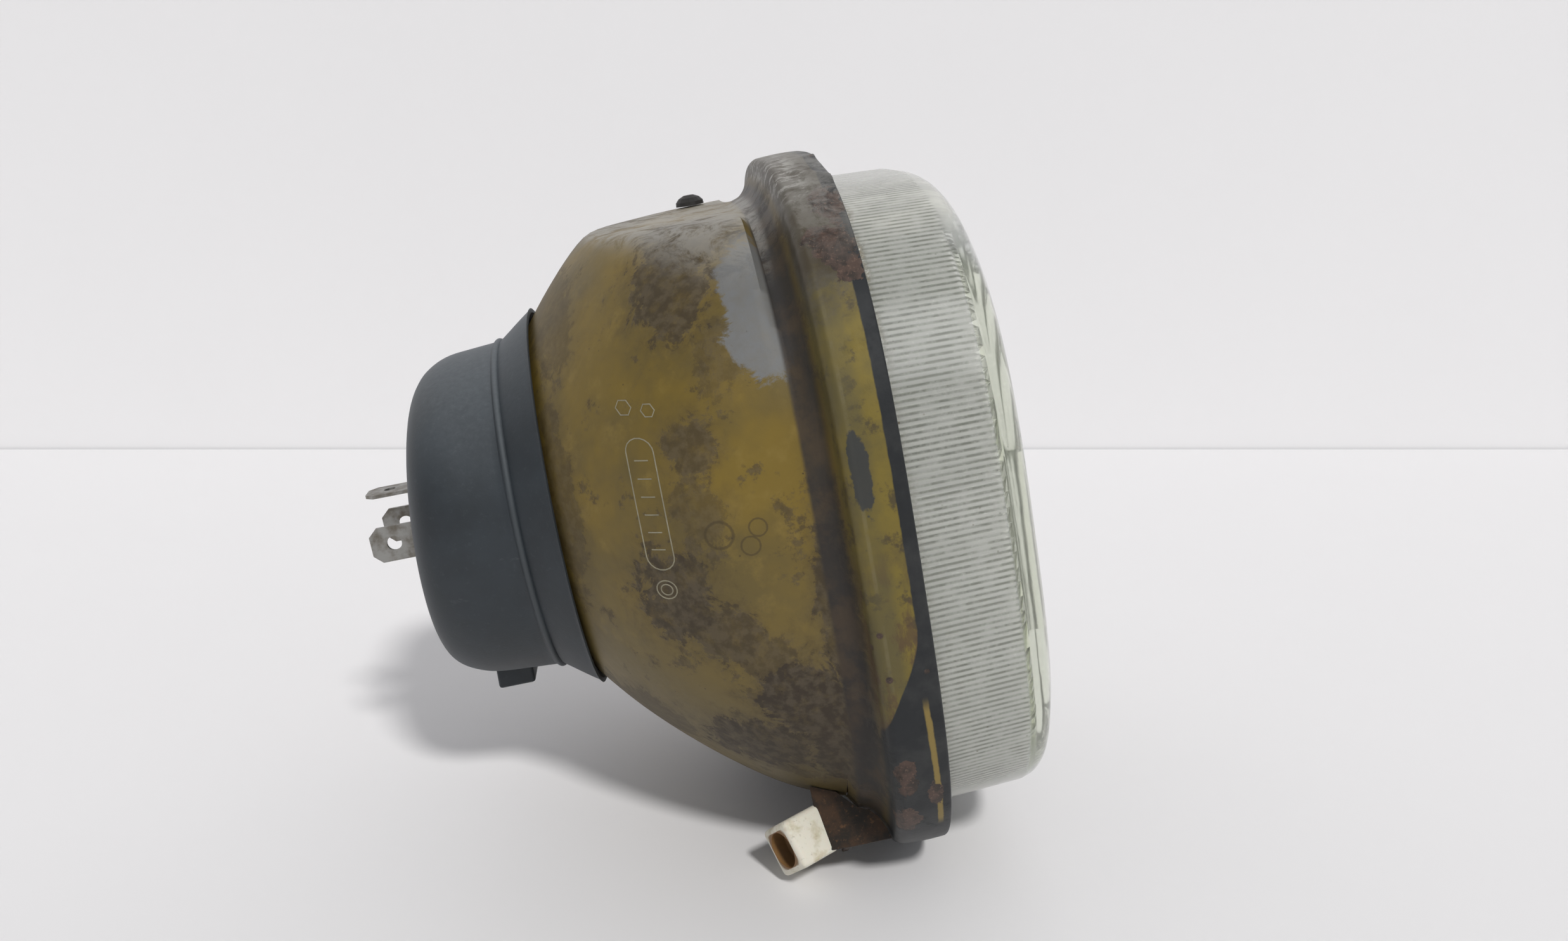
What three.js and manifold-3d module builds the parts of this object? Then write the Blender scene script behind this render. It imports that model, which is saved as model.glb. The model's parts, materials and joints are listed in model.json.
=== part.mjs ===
import * as THREE from "three";
import { mergeVertices } from "three/addons/utils/BufferGeometryUtils.js";
import Module from "manifold-3d";

const wasm = await Module();
wasm.setup();

// Millimetres. Lamp frame while building: X along the bulb axis towards the lens, Z up, rim front at X 0.
// Rim and lens outline: a rounded square, |y / a|^n + |z / b|^n = 1.
const RIM_WIDTH = 156;
const RIM_HEIGHT = 151;
const OUTLINE_POWER = 2.9;
const RIM_DEPTH = 11;
const SHEET = 0.8;

// Reflector bowl: a paraboloid about the bulb axis, cut by drafted sides and a flat top.
const AXIS_Z = 8.8;
const FOCAL_LENGTH = 27;
const BOWL_X = -66.4;
const BOWL_RADIUS = 41.2;
const NECK_X = -78;
const BODY_INSET = 8.6;
const SIDE_DRAFT = 0.05;
const TOP_FLAT_Z = 66.4;
const TOP_INSET = 2.6;

// Lens, from its foot in the rim to the edge of its domed face.
const LENS_EDGE_X = 24.6;
const LENS_DOME = 4.2;
const LENS_GLASS = 5;

// Rubber boot.
const BOOT_SKIRT_RADIUS = 43.6;
const BOOT_CUP_RADIUS = 37.4;
const BOOT_END_X = -98.8;
const BOOT_WALL = 2.3;
const BOOT_END_TILT = 0.07;

// Bulb with its three blades.
const SEAT_X = -79.6;
const BULB_RADIUS = 8.5;
const BLADE_WIDTH = 8;
const BLADE_THICKNESS = 0.8;
const BLADE_SPACING = 17;
const BLADE_TIP_X = -111;
const BLADE_Z = AXIS_Z - 1;
const TOP_BLADE_Z = AXIS_Z + 9;

// Wire clip over the bulb flange, hinged above it.
const CLIP_WIRE = 0.8;
const CLIP_X = -82;
const HINGE_Z = AXIS_Z + 25;
const CLIP_HALF_WIDTH = 15.6;

// Corner brackets and the nuts in them, one a side.
const NUT_Y = 44;
const NUT_Z = -62;
const NUT_TURN = 58;
const NUT_SWIVEL = 32;
const NUT_HALF = 5.2;
const NUT_BACK_X = -36.6;
const PLATE_X = -20.8;
const PLATE = 1.5;

// Lean of the lamp as it rests on its rim and its two nuts.
const LEAN = 9.94;
const FOOT_X = -33.4;

const RING_POINTS = 52;
const ROUND_POINTS = 36;

const paint = (name, color, roughness, metalness = 0) =>
  Object.assign(new THREE.MeshStandardMaterial({ color, roughness, metalness }), { name });
const LACQUER = paint("lacquered_steel", 0x7d6a33, 0.5, 0.3);
const GLASS = Object.assign(paint("lens_glass", 0xcdd6cf, 0.15), { transparent: true, opacity: 0.55 });
const BULB_GLASS = Object.assign(paint("bulb_glass", 0xe8eef0, 0.05), { transparent: true, opacity: 0.35 });
const SEALANT = paint("black_sealant", 0x1b1d1f, 0.7);
const RUBBER = paint("black_rubber", 0x262c2f, 0.85);
const ZINC = paint("zinc_plated_steel", 0xa5a49d, 0.4, 0.9);
const BRASS = paint("tinned_brass", 0xb3b0a6, 0.35, 0.9);
const CERAMIC = paint("black_plastic", 0x1d1c1b, 0.6);
const TUNGSTEN = paint("tungsten", 0x6f7072, 0.4, 0.9);
const RUSTY = paint("rusty_steel", 0x5b4a3a, 0.75, 0.4);
const NYLON = paint("white_nylon", 0xd9d6c4, 0.6);

// ---- surfaces ----

// A closed surface over rings of equal length; a ring of one point is a pole.
// With wrap, the last ring joins the first. Open ends are closed by a fan.
function loft(rings, wrap = false) {
  const points = [];
  const faces = [];
  const rows = rings.map((ring) => ring.map((p) => points.push(p) - 1));
  const band = (a, b) => {
    const count = Math.max(a.length, b.length);
    for (let i = 0; i < count; i++) {
      const j = (i + 1) % count;
      if (a.length === 1) faces.push([a[0], b[i], b[j]]);
      else if (b.length === 1) faces.push([a[i], b[0], a[j]]);
      else faces.push([a[i], b[i], b[j]], [a[i], b[j], a[j]]);
    }
  };
  for (let i = 1; i < rows.length; i++) band(rows[i - 1], rows[i]);
  if (wrap) band(rows[rows.length - 1], rows[0]);
  const fan = (row, first) => {
    if (wrap || row.length === 1) return;
    const middle = new THREE.Vector3();
    row.forEach((i) => middle.addScaledVector(points[i], 1 / row.length));
    const pole = [points.push(middle) - 1];
    if (first) band(pole, row);
    else band(row, pole);
  };
  fan(rows[0], true);
  fan(rows[rows.length - 1], false);
  return facingOut(points, faces);
}

// The surface of these faces, turned round if they face in.
function facingOut(points, faces) {
  let volume = 0;
  faces.forEach(([a, b, c]) => {
    volume += points[a].dot(new THREE.Vector3().crossVectors(points[b], points[c]));
  });
  const index = faces.flatMap(([a, b, c]) => (volume < 0 ? [a, c, b] : [a, b, c]));
  const geometry = new THREE.BufferGeometry().setFromPoints(points);
  geometry.setIndex(index);
  return geometry;
}

// A ring about the bulb axis at x, its radius given for each angle.
function ringAt(x, radiusOf, count = RING_POINTS) {
  return Array.from({ length: count }, (_, i) => {
    const angle = (2 * Math.PI * i) / count;
    const r = radiusOf(angle);
    return new THREE.Vector3(x, r * Math.cos(angle), AXIS_Z + r * Math.sin(angle));
  });
}

// A solid of revolution about the bulb axis from [x, radius] pairs; radius 0 makes a pole.
function revolve(profile, count = ROUND_POINTS) {
  const rings = profile.map(([x, r]) =>
    r === 0 ? [new THREE.Vector3(x, 0, AXIS_Z)] : ringAt(x, () => r, count),
  );
  return loft(rings, profile[0][1] !== 0);
}

// A round wire through these points.
function wire(points, radius, sides = 8) {
  const rings = [];
  let side = null;
  points.forEach((p, i) => {
    const before = points[Math.max(i - 1, 0)];
    const after = points[Math.min(i + 1, points.length - 1)];
    const along = new THREE.Vector3().subVectors(after, before).normalize();
    if (!side) side = new THREE.Vector3(Math.abs(along.x) < 0.9 ? 1 : 0, 0, Math.abs(along.x) < 0.9 ? 0 : 1);
    side = side.clone().addScaledVector(along, -side.dot(along)).normalize();
    const up = new THREE.Vector3().crossVectors(along, side);
    rings.push(
      Array.from({ length: sides }, (_, k) => {
        const angle = (2 * Math.PI * k) / sides;
        return p
          .clone()
          .addScaledVector(side, radius * Math.cos(angle))
          .addScaledVector(up, radius * Math.sin(angle));
      }),
    );
  });
  return loft(rings);
}

// A box between two corners.
function box(x0, x1, y0, y1, z0, z1) {
  return new THREE.BoxGeometry(x1 - x0, y1 - y0, z1 - z0).translate(
    (x0 + x1) / 2,
    (y0 + y1) / 2,
    (z0 + z1) / 2,
  );
}

// A round bar along X.
function barX(x0, x1, y, z, radius, sides = 20) {
  return new THREE.CylinderGeometry(radius, radius, x1 - x0, sides)
    .rotateZ(Math.PI / 2)
    .translate((x0 + x1) / 2, y, z);
}

// A round bar along Y.
function barY(y0, y1, x, z, radius, sides = 16) {
  return new THREE.CylinderGeometry(radius, radius, y1 - y0, sides).translate(x, (y0 + y1) / 2, z);
}

// ---- joining and cutting ----

function toSolid(geometry) {
  const bare = new THREE.BufferGeometry();
  bare.setAttribute("position", geometry.getAttribute("position").clone());
  if (geometry.index) bare.setIndex(geometry.index.clone());
  const merged = mergeVertices(bare, 1e-4);
  return new wasm.Manifold(
    new wasm.Mesh({
      numProp: 3,
      vertProperties: merged.attributes.position.array,
      triVerts: new Uint32Array(merged.index.array),
    }),
  );
}

function toGeometry(solid) {
  const mesh = solid.getMesh();
  const geometry = new THREE.BufferGeometry();
  const positions = new Float32Array(mesh.numVert * 3);
  for (let i = 0; i < mesh.numVert; i++) {
    positions.set(mesh.vertProperties.subarray(i * mesh.numProp, i * mesh.numProp + 3), i * 3);
  }
  geometry.setAttribute("position", new THREE.BufferAttribute(positions, 3));
  geometry.setIndex(new THREE.BufferAttribute(mesh.triVerts, 1));
  return geometry;
}

const join = (...parts) => toGeometry(parts.map(toSolid).reduce((a, b) => a.add(b)));
const cut = (from, ...tools) =>
  toGeometry(tools.map(toSolid).reduce((a, b) => a.subtract(b), toSolid(from)));

// ---- outlines ----

// Distance from the bulb axis to the rounded square, inset evenly.
function outlineRadius(angle, inset) {
  const a = RIM_WIDTH / 2 - inset;
  const b = RIM_HEIGHT / 2 - inset;
  let low = 0;
  let high = 200;
  for (let i = 0; i < 40; i++) {
    const r = (low + high) / 2;
    const y = Math.abs(r * Math.cos(angle)) / a;
    const z = Math.abs(AXIS_Z + r * Math.sin(angle)) / b;
    if (y ** OUTLINE_POWER + z ** OUTLINE_POWER < 1) low = r;
    else high = r;
  }
  return low;
}

const softMin = (a, b, power) => (a ** -power + b ** -power) ** (-1 / power);
const bowlRadius = (x) => Math.sqrt(BOWL_RADIUS ** 2 + 4 * FOCAL_LENGTH * (x - BOWL_X));

// Outer radius of the reflector behind its rim.
function bodyRadius(angle, x) {
  const rise = Math.sin(angle);
  const inset = rise > 0 ? BODY_INSET + (TOP_INSET - BODY_INSET) * rise ** 2 : BODY_INSET;
  const side = outlineRadius(angle, inset + SIDE_DRAFT * (-RIM_DEPTH - x));
  const rounded = softMin(bowlRadius(x), side, 18);
  return rise > 0.1 ? softMin(rounded, (TOP_FLAT_Z - AXIS_Z) / rise, 90) : rounded;
}

// ---- reflector and rim ----

const BODY_STATIONS = [-76.8, -74.6, -71, BOWL_X, -61, -55.5, -50.5, -45, -39, -33, -27, -22, -18.6];
const COVE = [
  [-16.8, 8.5],
  [-14.6, 7.7],
  [-12.9, 6],
  [-11.7, 3.6],
  [-11, 1.3],
  [-9.8, 0.2],
  [-8.4, 0],
];

// The outside of the body and its rim, grown by a little where a neighbour is cut round it.
function outerRings(grow = 0) {
  const rings = [ringAt(NECK_X, () => bowlRadius(NECK_X) + grow)];
  BODY_STATIONS.forEach((x) => rings.push(ringAt(x, (angle) => bodyRadius(angle, x) + grow)));
  COVE.forEach(([x, inset]) => rings.push(ringAt(x - grow, (angle) => outlineRadius(angle, inset - grow))));
  rings.push(ringAt(0, (angle) => outlineRadius(angle, -grow)));
  return rings;
}

function reflectorShell() {
  const rings = outerRings();
  rings.push(ringAt(0, (angle) => outlineRadius(angle, SHEET)));
  [...COVE].reverse().forEach(([x, inset]) => {
    const depth = Math.min(1, inset / 6);
    rings.push(ringAt(x + SHEET * (0.35 + 0.65 * depth), (angle) => outlineRadius(angle, inset + SHEET)));
  });
  [...BODY_STATIONS].reverse().forEach((x) => {
    rings.push(ringAt(x + SHEET, (angle) => bodyRadius(angle, x) - SHEET));
  });
  rings.push(ringAt(NECK_X + SHEET, () => bowlRadius(NECK_X) - SHEET));
  return loft(rings, true);
}

function rimSealant() {
  const section = [
    [-8.6, 1.3],
    [-0.9, 1.25],
    [-0.5, 3],
    [-0.8, 5.9],
    [-3, 5.7],
    [-5.1, 2.15],
    [-8.6, 2.15],
  ];
  return loft(
    section.map(([x, inset]) => ringAt(x, (angle) => outlineRadius(angle, inset))),
    true,
  );
}

// ---- lens ----

// A ring scaled towards the middle of the face.
const shrink = (ring, x, share) => ring.map((p) => new THREE.Vector3(x, p.y * share, p.z * share));

function lensGlass() {
  const wall = (pairs) => pairs.map(([x, inset]) => ringAt(x, (angle) => outlineRadius(angle, inset)));
  const outer = wall([
    [-8.3, 2.5],
    [-5.5, 2.5],
    [-3.5, 6],
    [0, 6.5],
    [18.6, 7.4],
    [21.2, 8.3],
    [23.2, 10.2],
    [LENS_EDGE_X, 13.4],
  ]);
  const inner = wall([
    [LENS_EDGE_X - LENS_GLASS, 15.8],
    [17.6, 13.2],
    [14.6, 11.9],
    [0, 11.3],
    [-4.5, 9.4],
    [-8.3, 8.2],
  ]);
  const edge = outer[outer.length - 1];
  const backEdge = inner[0];
  const dome = (share) => LENS_DOME * (1 - share * share);
  const face = [0.82, 0.6, 0.38, 0.18].map((s) => shrink(edge, LENS_EDGE_X + dome(s), s));
  const back = [0.18, 0.38, 0.6, 0.82].map((s) => shrink(backEdge, LENS_EDGE_X - LENS_GLASS + dome(s), s));
  const front = [new THREE.Vector3(LENS_EDGE_X + LENS_DOME, 0, 0)];
  const rear = [new THREE.Vector3(LENS_EDGE_X + LENS_DOME - LENS_GLASS, 0, 0)];
  return loft([front, ...face.reverse(), ...outer.reverse(), ...inner.reverse(), ...back.reverse(), rear]);
}

// ---- bulb collar ----

function bulbCollar() {
  const dish = revolve([
    [SEAT_X, 18.2],
    [SEAT_X, 25],
    [-75.4, 30.8],
    [-74.5, 30.6],
    [SEAT_X + SHEET, 24.6],
    [SEAT_X + SHEET, 18.2],
  ]);
  const lug = (y) => box(CLIP_X - 2.4, -76.6, y - 1, y + 1, HINGE_Z - 4.6, HINGE_Z + 2.4);
  const tongue = box(CLIP_X - 2.2, -76.9, -4, 4, AXIS_Z - 28.2, AXIS_Z - 26.6);
  const ledge = box(-78.6, -77.4, -4, 4, AXIS_Z - 27.6, AXIS_Z - 24);
  const pin = CLIP_WIRE + 0.35;
  return cut(
    join(dish, lug(-18.2), lug(18.2), tongue, ledge),
    barY(-21, -15, CLIP_X, HINGE_Z, pin),
    barY(15, 21, CLIP_X, HINGE_Z, pin),
  );
}

function retainingClip() {
  const half = CLIP_HALF_WIDTH;
  const low = AXIS_Z - 25.4;
  const right = [
    [20.6, HINGE_Z],
    [half + 1.2, HINGE_Z],
    [half + 0.3, HINGE_Z - 0.5],
    [half, HINGE_Z - 1.5],
    [half, AXIS_Z - 13],
    [half - 0.6, AXIS_Z - 15.4],
    [5.4, low + 1.8],
    [4, low + 0.5],
    [2.8, low],
  ];
  const path = [...right, ...[...right].reverse().map(([y, z]) => [-y, z])];
  return wire(
    path.map(([y, z]) => new THREE.Vector3(CLIP_X, y, z)),
    CLIP_WIRE,
  );
}

// ---- bulb ----

function bulbBase() {
  return revolve(
    [
      [-88.3, 12.2],
      [-88.3, 13],
      [-81.1, 13],
      [-79.2, 13],
      [-79.2, 10.2],
      [-68.2, 10.2],
      [-68.2, 9.3],
      [-80.1, 9.3],
      [-80.1, 12.2],
    ],
    28,
  );
}

function bulbFlange() {
  const ring = revolve([
    [SEAT_X - 1.2, 13.5],
    [SEAT_X - 1.2, 21.4],
    [SEAT_X - 0.3, 21.4],
    [SEAT_X - 0.3, 13.5],
  ]);
  const tab = (turn) =>
    box(SEAT_X - 1.2, SEAT_X - 0.3, -3, 3, 20.6, 23.2)
      .rotateX((turn * Math.PI) / 180)
      .translate(0, 0, AXIS_Z);
  return join(ring, tab(0), tab(120), tab(240));
}

const bulbInsulator = () =>
  revolve(
    [
      [-90.5, 0],
      [-90.5, 11.8],
      [-89.8, 12.6],
      [-88.6, 12.6],
      [-88.6, 11.6],
      [-85, 11.6],
      [-85, 0],
    ],
    28,
  );

// A blade lying in the X Z plane about X, its tip chamfered and drilled.
function blade(root, holeRadius) {
  const half = BLADE_WIDTH / 2;
  const shape = new THREE.Shape();
  shape.moveTo(root, -half);
  shape.lineTo(root, half);
  shape.lineTo(BLADE_TIP_X + 1.9, half);
  shape.lineTo(BLADE_TIP_X, half - 1.8);
  shape.lineTo(BLADE_TIP_X, -half + 1.8);
  shape.lineTo(BLADE_TIP_X + 1.9, -half);
  const hole = new THREE.Path();
  hole.absarc(BLADE_TIP_X + 5.2, 0, holeRadius, 0, 2 * Math.PI, false);
  shape.holes.push(hole);
  const flat = { depth: BLADE_THICKNESS, bevelEnabled: false, curveSegments: 10 };
  return new THREE.ExtrudeGeometry(shape, flat).translate(0, 0, -BLADE_THICKNESS / 2);
}

const sideBlade = (y) =>
  blade(-90.8, 1.65)
    .rotateX(Math.PI / 2)
    .translate(0, y, BLADE_Z);
const topBlade = () => blade(-90.8, 1.3).translate(0, 0, TOP_BLADE_Z);

function bulbEnvelope() {
  const dome = (radius, tip) =>
    [20, 40, 60, 78].map((degrees) => {
      const turn = (degrees * Math.PI) / 180;
      return [tip - radius + radius * Math.sin(turn), radius * Math.cos(turn)];
    });
  const inner = BULB_RADIUS - 0.9;
  return revolve(
    [
      [-34, 0],
      ...dome(BULB_RADIUS, -34).reverse(),
      [-34 - BULB_RADIUS, BULB_RADIUS],
      [-77.4, BULB_RADIUS],
      [-77.4, inner],
      [-34.9 - inner, inner],
      ...dome(inner, -34.9),
      [-34.9, 0],
    ],
    24,
  );
}

const bulbStem = () =>
  revolve(
    [
      [-77.6, 0],
      [-77.6, 6.6],
      [-66, 6.6],
      [-63.5, 3.4],
      [-63.5, 0],
    ],
    16,
  );

// A coil about X between two x values.
function coil(x0, x1, z, turns) {
  const steps = turns * 8;
  const radius = 0.75;
  const points = Array.from({ length: steps + 1 }, (_, i) => {
    const angle = (2 * Math.PI * i) / 8;
    const x = x0 + ((x1 - x0) * i) / steps;
    return new THREE.Vector3(x, radius * Math.cos(angle), z + radius * Math.sin(angle));
  });
  return wire(points, 0.17, 4);
}

// Points given as height above the bulb axis.
const at = (list) => list.map(([x, y, z]) => new THREE.Vector3(x, y, AXIS_Z + z));
const mainLead = () =>
  wire(
    at([
      [-63.2, 2.4, 0],
      [-60, 2.4, 0],
      [-58.6, 1.6, 0],
      [-58.2, 1.35, 0],
    ]),
    0.3,
    6,
  );
const commonLead = () =>
  wire(
    at([
      [-63.2, 0, 2.6],
      [-60, 0, 4.2],
      [-53, 0, 4.6],
      [-51.6, 0, 3.4],
      [-51.2, 0, 1.5],
    ]),
    0.3,
    6,
  );
const dipLead = () =>
  wire(
    at([
      [-63.2, -2.4, 0],
      [-61, -4.6, 0],
      [-42, -5.4, 0.6],
      [-41, -4.4, 1.2],
      [-41, -1.4, 1.6],
    ]),
    0.3,
    6,
  );

// A trough below the dip filament, closed in front.
function dipShield() {
  const shape = new THREE.Shape();
  shape.absarc(0, 0, 4, Math.PI * 1.08, Math.PI * 1.92, false);
  shape.absarc(0, 0, 3.4, Math.PI * 1.92, Math.PI * 1.08, true);
  const trough = new THREE.ExtrudeGeometry(shape, { depth: 8, bevelEnabled: false, curveSegments: 10 });
  const lid = new THREE.Shape();
  lid.absarc(0, 0, 3.9, Math.PI * 1.08, Math.PI * 1.92, false);
  const front = new THREE.ExtrudeGeometry(lid, { depth: 0.5, bevelEnabled: false, curveSegments: 10 });
  const turn = (g, x) => g.rotateX(Math.PI / 2).rotateZ(Math.PI / 2).translate(x, 0, AXIS_Z + 0.6);
  return join(turn(trough, -50.2), turn(front, -42.6));
}

// ---- boot ----

function rubberBoot() {
  const wall = BOOT_WALL;
  const cup = BOOT_CUP_RADIUS;
  const outer = [
    [BOOT_END_X, 0],
    [BOOT_END_X, 21],
    [BOOT_END_X + 0.3, 25.5],
    [BOOT_END_X + 1.5, 29.6],
    [BOOT_END_X + 3.6, 32.8],
    [BOOT_END_X + 6.8, 35],
    [BOOT_END_X + 11, cup - 1],
    [-81.5, cup - 0.4],
    [-75.8, cup],
    [-75.3, cup + 0.7],
    [-74.5, cup + 0.7],
    [-74, cup + 0.3],
    [-67, BOOT_SKIRT_RADIUS - 0.7],
    [-66.4, BOOT_SKIRT_RADIUS],
  ];
  const inner = [
    [-66.3, BOOT_SKIRT_RADIUS - 1.1],
    [-67.6, BOOT_SKIRT_RADIUS - 2.4],
    [-74.4, cup - wall + 0.4],
    [-81.5, cup - 0.6 - wall],
    [BOOT_END_X + 11, cup - 1.4 - wall],
    [BOOT_END_X + 7.6, 32.4],
    [BOOT_END_X + 5.2, 30.4],
    [BOOT_END_X + 3.5, 27.6],
    [BOOT_END_X + 2.6, 24],
    [BOOT_END_X + 2.4, 20],
    [BOOT_END_X + 2.4, 0],
  ];
  const shell = revolve([...outer, ...inner], 44);
  const nozzle = box(BOOT_END_X + 9.2, BOOT_END_X + 16.7, -5, 5, AXIS_Z - 41.4, AXIS_Z - 35.4);
  const pads = [-BLADE_SPACING / 2, BLADE_SPACING / 2].map((y) =>
    box(BOOT_END_X - 1.4, BOOT_END_X + 1, y - 2.6, y + 2.6, BLADE_Z - 6.2, BLADE_Z + 6.2),
  );
  pads.push(box(BOOT_END_X - 1.4, BOOT_END_X + 1, -6.2, 6.2, TOP_BLADE_Z - 2.4, TOP_BLADE_Z + 2.4));
  const slots = [-BLADE_SPACING / 2, BLADE_SPACING / 2].map((y) =>
    box(BOOT_END_X - 6, BOOT_END_X + 8, y - 0.85, y + 0.85, BLADE_Z - 4.6, BLADE_Z + 4.6),
  );
  slots.push(box(BOOT_END_X - 6, BOOT_END_X + 8, -4.6, 4.6, TOP_BLADE_Z - 0.85, TOP_BLADE_Z + 0.85));
  const vent = box(BOOT_END_X + 11.2, BOOT_END_X + 14.7, -3, 3, AXIS_Z - 45, AXIS_Z - 32);
  return tiltEnd(cut(join(shell, nozzle, ...pads), ...slots, vent));
}

// Leans the boot's closed end back at the bottom, more the further it is from the skirt.
function tiltEnd(geometry) {
  const p = geometry.getAttribute("position");
  for (let i = 0; i < p.count; i++) {
    const share = Math.min(1, Math.max(0, (-76 - p.getX(i)) / 20));
    p.setX(i, p.getX(i) + BOOT_END_TILT * share * (p.getZ(i) - AXIS_Z));
  }
  return geometry;
}

// ---- corner brackets and nuts ----

// Moves a shape made about the X axis to the nut's place, its +Z pointing away from the reflector.
// A swivel turns its back outwards, about the middle of the bracket's window.
const toCorner = (geometry, hand, swivel = 0) =>
  geometry
    .rotateX(hand * ((-NUT_TURN - 90) * Math.PI) / 180)
    .translate(-PLATE_X, 0, 0)
    .rotateZ((-hand * swivel * Math.PI) / 180)
    .translate(PLATE_X, hand * NUT_Y, NUT_Z);

function cornerBracket(hand) {
  const back = PLATE_X - PLATE / 2;
  const plate = box(back, back + PLATE, -8, 8, -8, 6.6);
  const web = box(back, -8.6, -8, -6.5, -8, 6.6);
  const window = box(back - 1, back + PLATE + 1, -4.8, 4.8, -4.8, 4.8);
  const whole = toGeometry(toSolid(plate).add(toSolid(web)).subtract(toSolid(window)));
  const placed = toSolid(toCorner(mirrorY(whole, hand), hand));
  return toGeometry(largest(placed.subtract(toSolid(loft(outerRings(0.35))))));
}

// The shape itself, or its mirror image in Y for the near side.
function mirrorY(geometry, hand) {
  if (hand > 0) return geometry;
  const mirrored = geometry.index ? geometry.toNonIndexed() : geometry.clone();
  mirrored.scale(1, -1, 1);
  const p = mirrored.getAttribute("position");
  for (let i = 0; i < p.count; i += 3) {
    const second = new THREE.Vector3().fromBufferAttribute(p, i + 1);
    p.setXYZ(i + 1, p.getX(i + 2), p.getY(i + 2), p.getZ(i + 2));
    p.setXYZ(i + 2, second.x, second.y, second.z);
  }
  return mirrored;
}

// The largest body of a cut.
const largest = (solid) => solid.decompose().sort((a, b) => b.volume() - a.volume())[0];

function adjusterNut(hand) {
  const rear = PLATE_X - PLATE / 2 - 5.2;
  const block = box(NUT_BACK_X, rear, -NUT_HALF, NUT_HALF, -NUT_HALF, NUT_HALF);
  const neck = box(rear - 1, -19.2, -2.9, 2.9, -2.9, 2.9);
  const bore = barX(NUT_BACK_X - 1, -17, 0, 0, 2.5, 18);
  const recess = barX(NUT_BACK_X - 1, NUT_BACK_X + 2, 0, 0, 3.6, 18);
  const whole = toGeometry(
    toSolid(block).add(toSolid(neck)).subtract(toSolid(bore)).subtract(toSolid(recess)),
  );
  const placed = toSolid(toCorner(mirrorY(whole, hand), hand, NUT_SWIVEL));
  const clear = placed.subtract(toSolid(loft(outerRings(0.35))));
  return toGeometry(largest(clear.add(toSolid(nutFoot(hand)))));
}

// The foot below the nut that the lamp rests on.
function nutFoot(hand) {
  const footZ = 0.2 - RIM_HEIGHT / 2 + (-9.8 - FOOT_X) * Math.tan((LEAN * Math.PI) / 180);
  const shape = new THREE.Shape();
  shape.moveTo(39.6, -65);
  shape.lineTo(41.2, footZ + 0.5);
  shape.lineTo(42, footZ);
  shape.lineTo(44.4, footZ);
  shape.lineTo(45.6, footZ + 0.8);
  shape.lineTo(48.4, -65);
  const foot = new THREE.ExtrudeGeometry(shape, { depth: 4.6, bevelEnabled: false });
  foot.rotateX(Math.PI / 2).rotateZ(Math.PI / 2).translate(FOOT_X, 0, 0);
  return mirrorY(foot, hand);
}

// ---- vent plug on the flat top ----

function topPlug() {
  const radii = [
    [0, 3.4],
    [0.9, 3.3],
    [1.8, 2.5],
    [2.4, 1.2],
  ];
  const rings = radii.map(([rise, r]) =>
    Array.from({ length: 16 }, (_, i) => {
      const angle = (2 * Math.PI * i) / 16;
      return new THREE.Vector3(
        -26 + r * Math.cos(angle),
        30 + r * Math.sin(angle),
        TOP_FLAT_Z + 0.3 + rise,
      );
    }),
  );
  return loft(rings);
}

// ---- the lamp ----

const lamp = new THREE.Group();
lamp.name = "lamp";

function add(name, geometry, material) {
  geometry.computeVertexNormals();
  const mesh = new THREE.Mesh(geometry, material);
  mesh.name = name;
  lamp.add(mesh);
}

add("reflector_shell", reflectorShell(), LACQUER);
add("rim_sealant", rimSealant(), SEALANT);
add("lens", lensGlass(), GLASS);
add("bulb_collar", bulbCollar(), ZINC);
add("retaining_clip", retainingClip(), ZINC);
add("bulb_base", bulbBase(), ZINC);
add("bulb_flange", bulbFlange(), ZINC);
add("bulb_insulator", bulbInsulator(), CERAMIC);
add("terminal_near", sideBlade(-BLADE_SPACING / 2), BRASS);
add("terminal_far", sideBlade(BLADE_SPACING / 2), BRASS);
add("terminal_top", topBlade(), BRASS);
add("bulb_envelope", bulbEnvelope(), BULB_GLASS);
add("bulb_stem", bulbStem(), BULB_GLASS);
add("main_filament", coil(-57.6, -52, AXIS_Z, 5), TUNGSTEN);
add("dip_filament", coil(-48.6, -43.8, AXIS_Z + 1.6, 5), TUNGSTEN);
add("main_lead", mainLead(), TUNGSTEN);
add("common_lead", commonLead(), TUNGSTEN);
add("dip_lead", dipLead(), TUNGSTEN);
add("dip_shield", dipShield(), TUNGSTEN);
add("boot", rubberBoot(), RUBBER);
add("bracket_near", cornerBracket(-1), RUSTY);
add("bracket_far", cornerBracket(1), RUSTY);
add("nut_near", adjusterNut(-1), NYLON);
add("nut_far", adjusterNut(1), NYLON);
add("top_plug", topPlug(), CERAMIC);

// Lean the lamp back on its rim and nuts, then stand it on Z 0 with its box centred.
lamp.rotation.y = (-LEAN * Math.PI) / 180;
const standing = new THREE.Group();
standing.name = "headlamp";
standing.add(lamp);
standing.updateMatrixWorld(true);
const bounds = new THREE.Box3().setFromObject(standing, true);
const middle = bounds.getCenter(new THREE.Vector3());
lamp.position.set(-middle.x, -middle.y, -bounds.min.z);

export default standing;
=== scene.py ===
import json
import math
from functools import partialmethod

import bmesh
import bpy
import numpy as np
from mathutils import Matrix, Vector, noise


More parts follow.
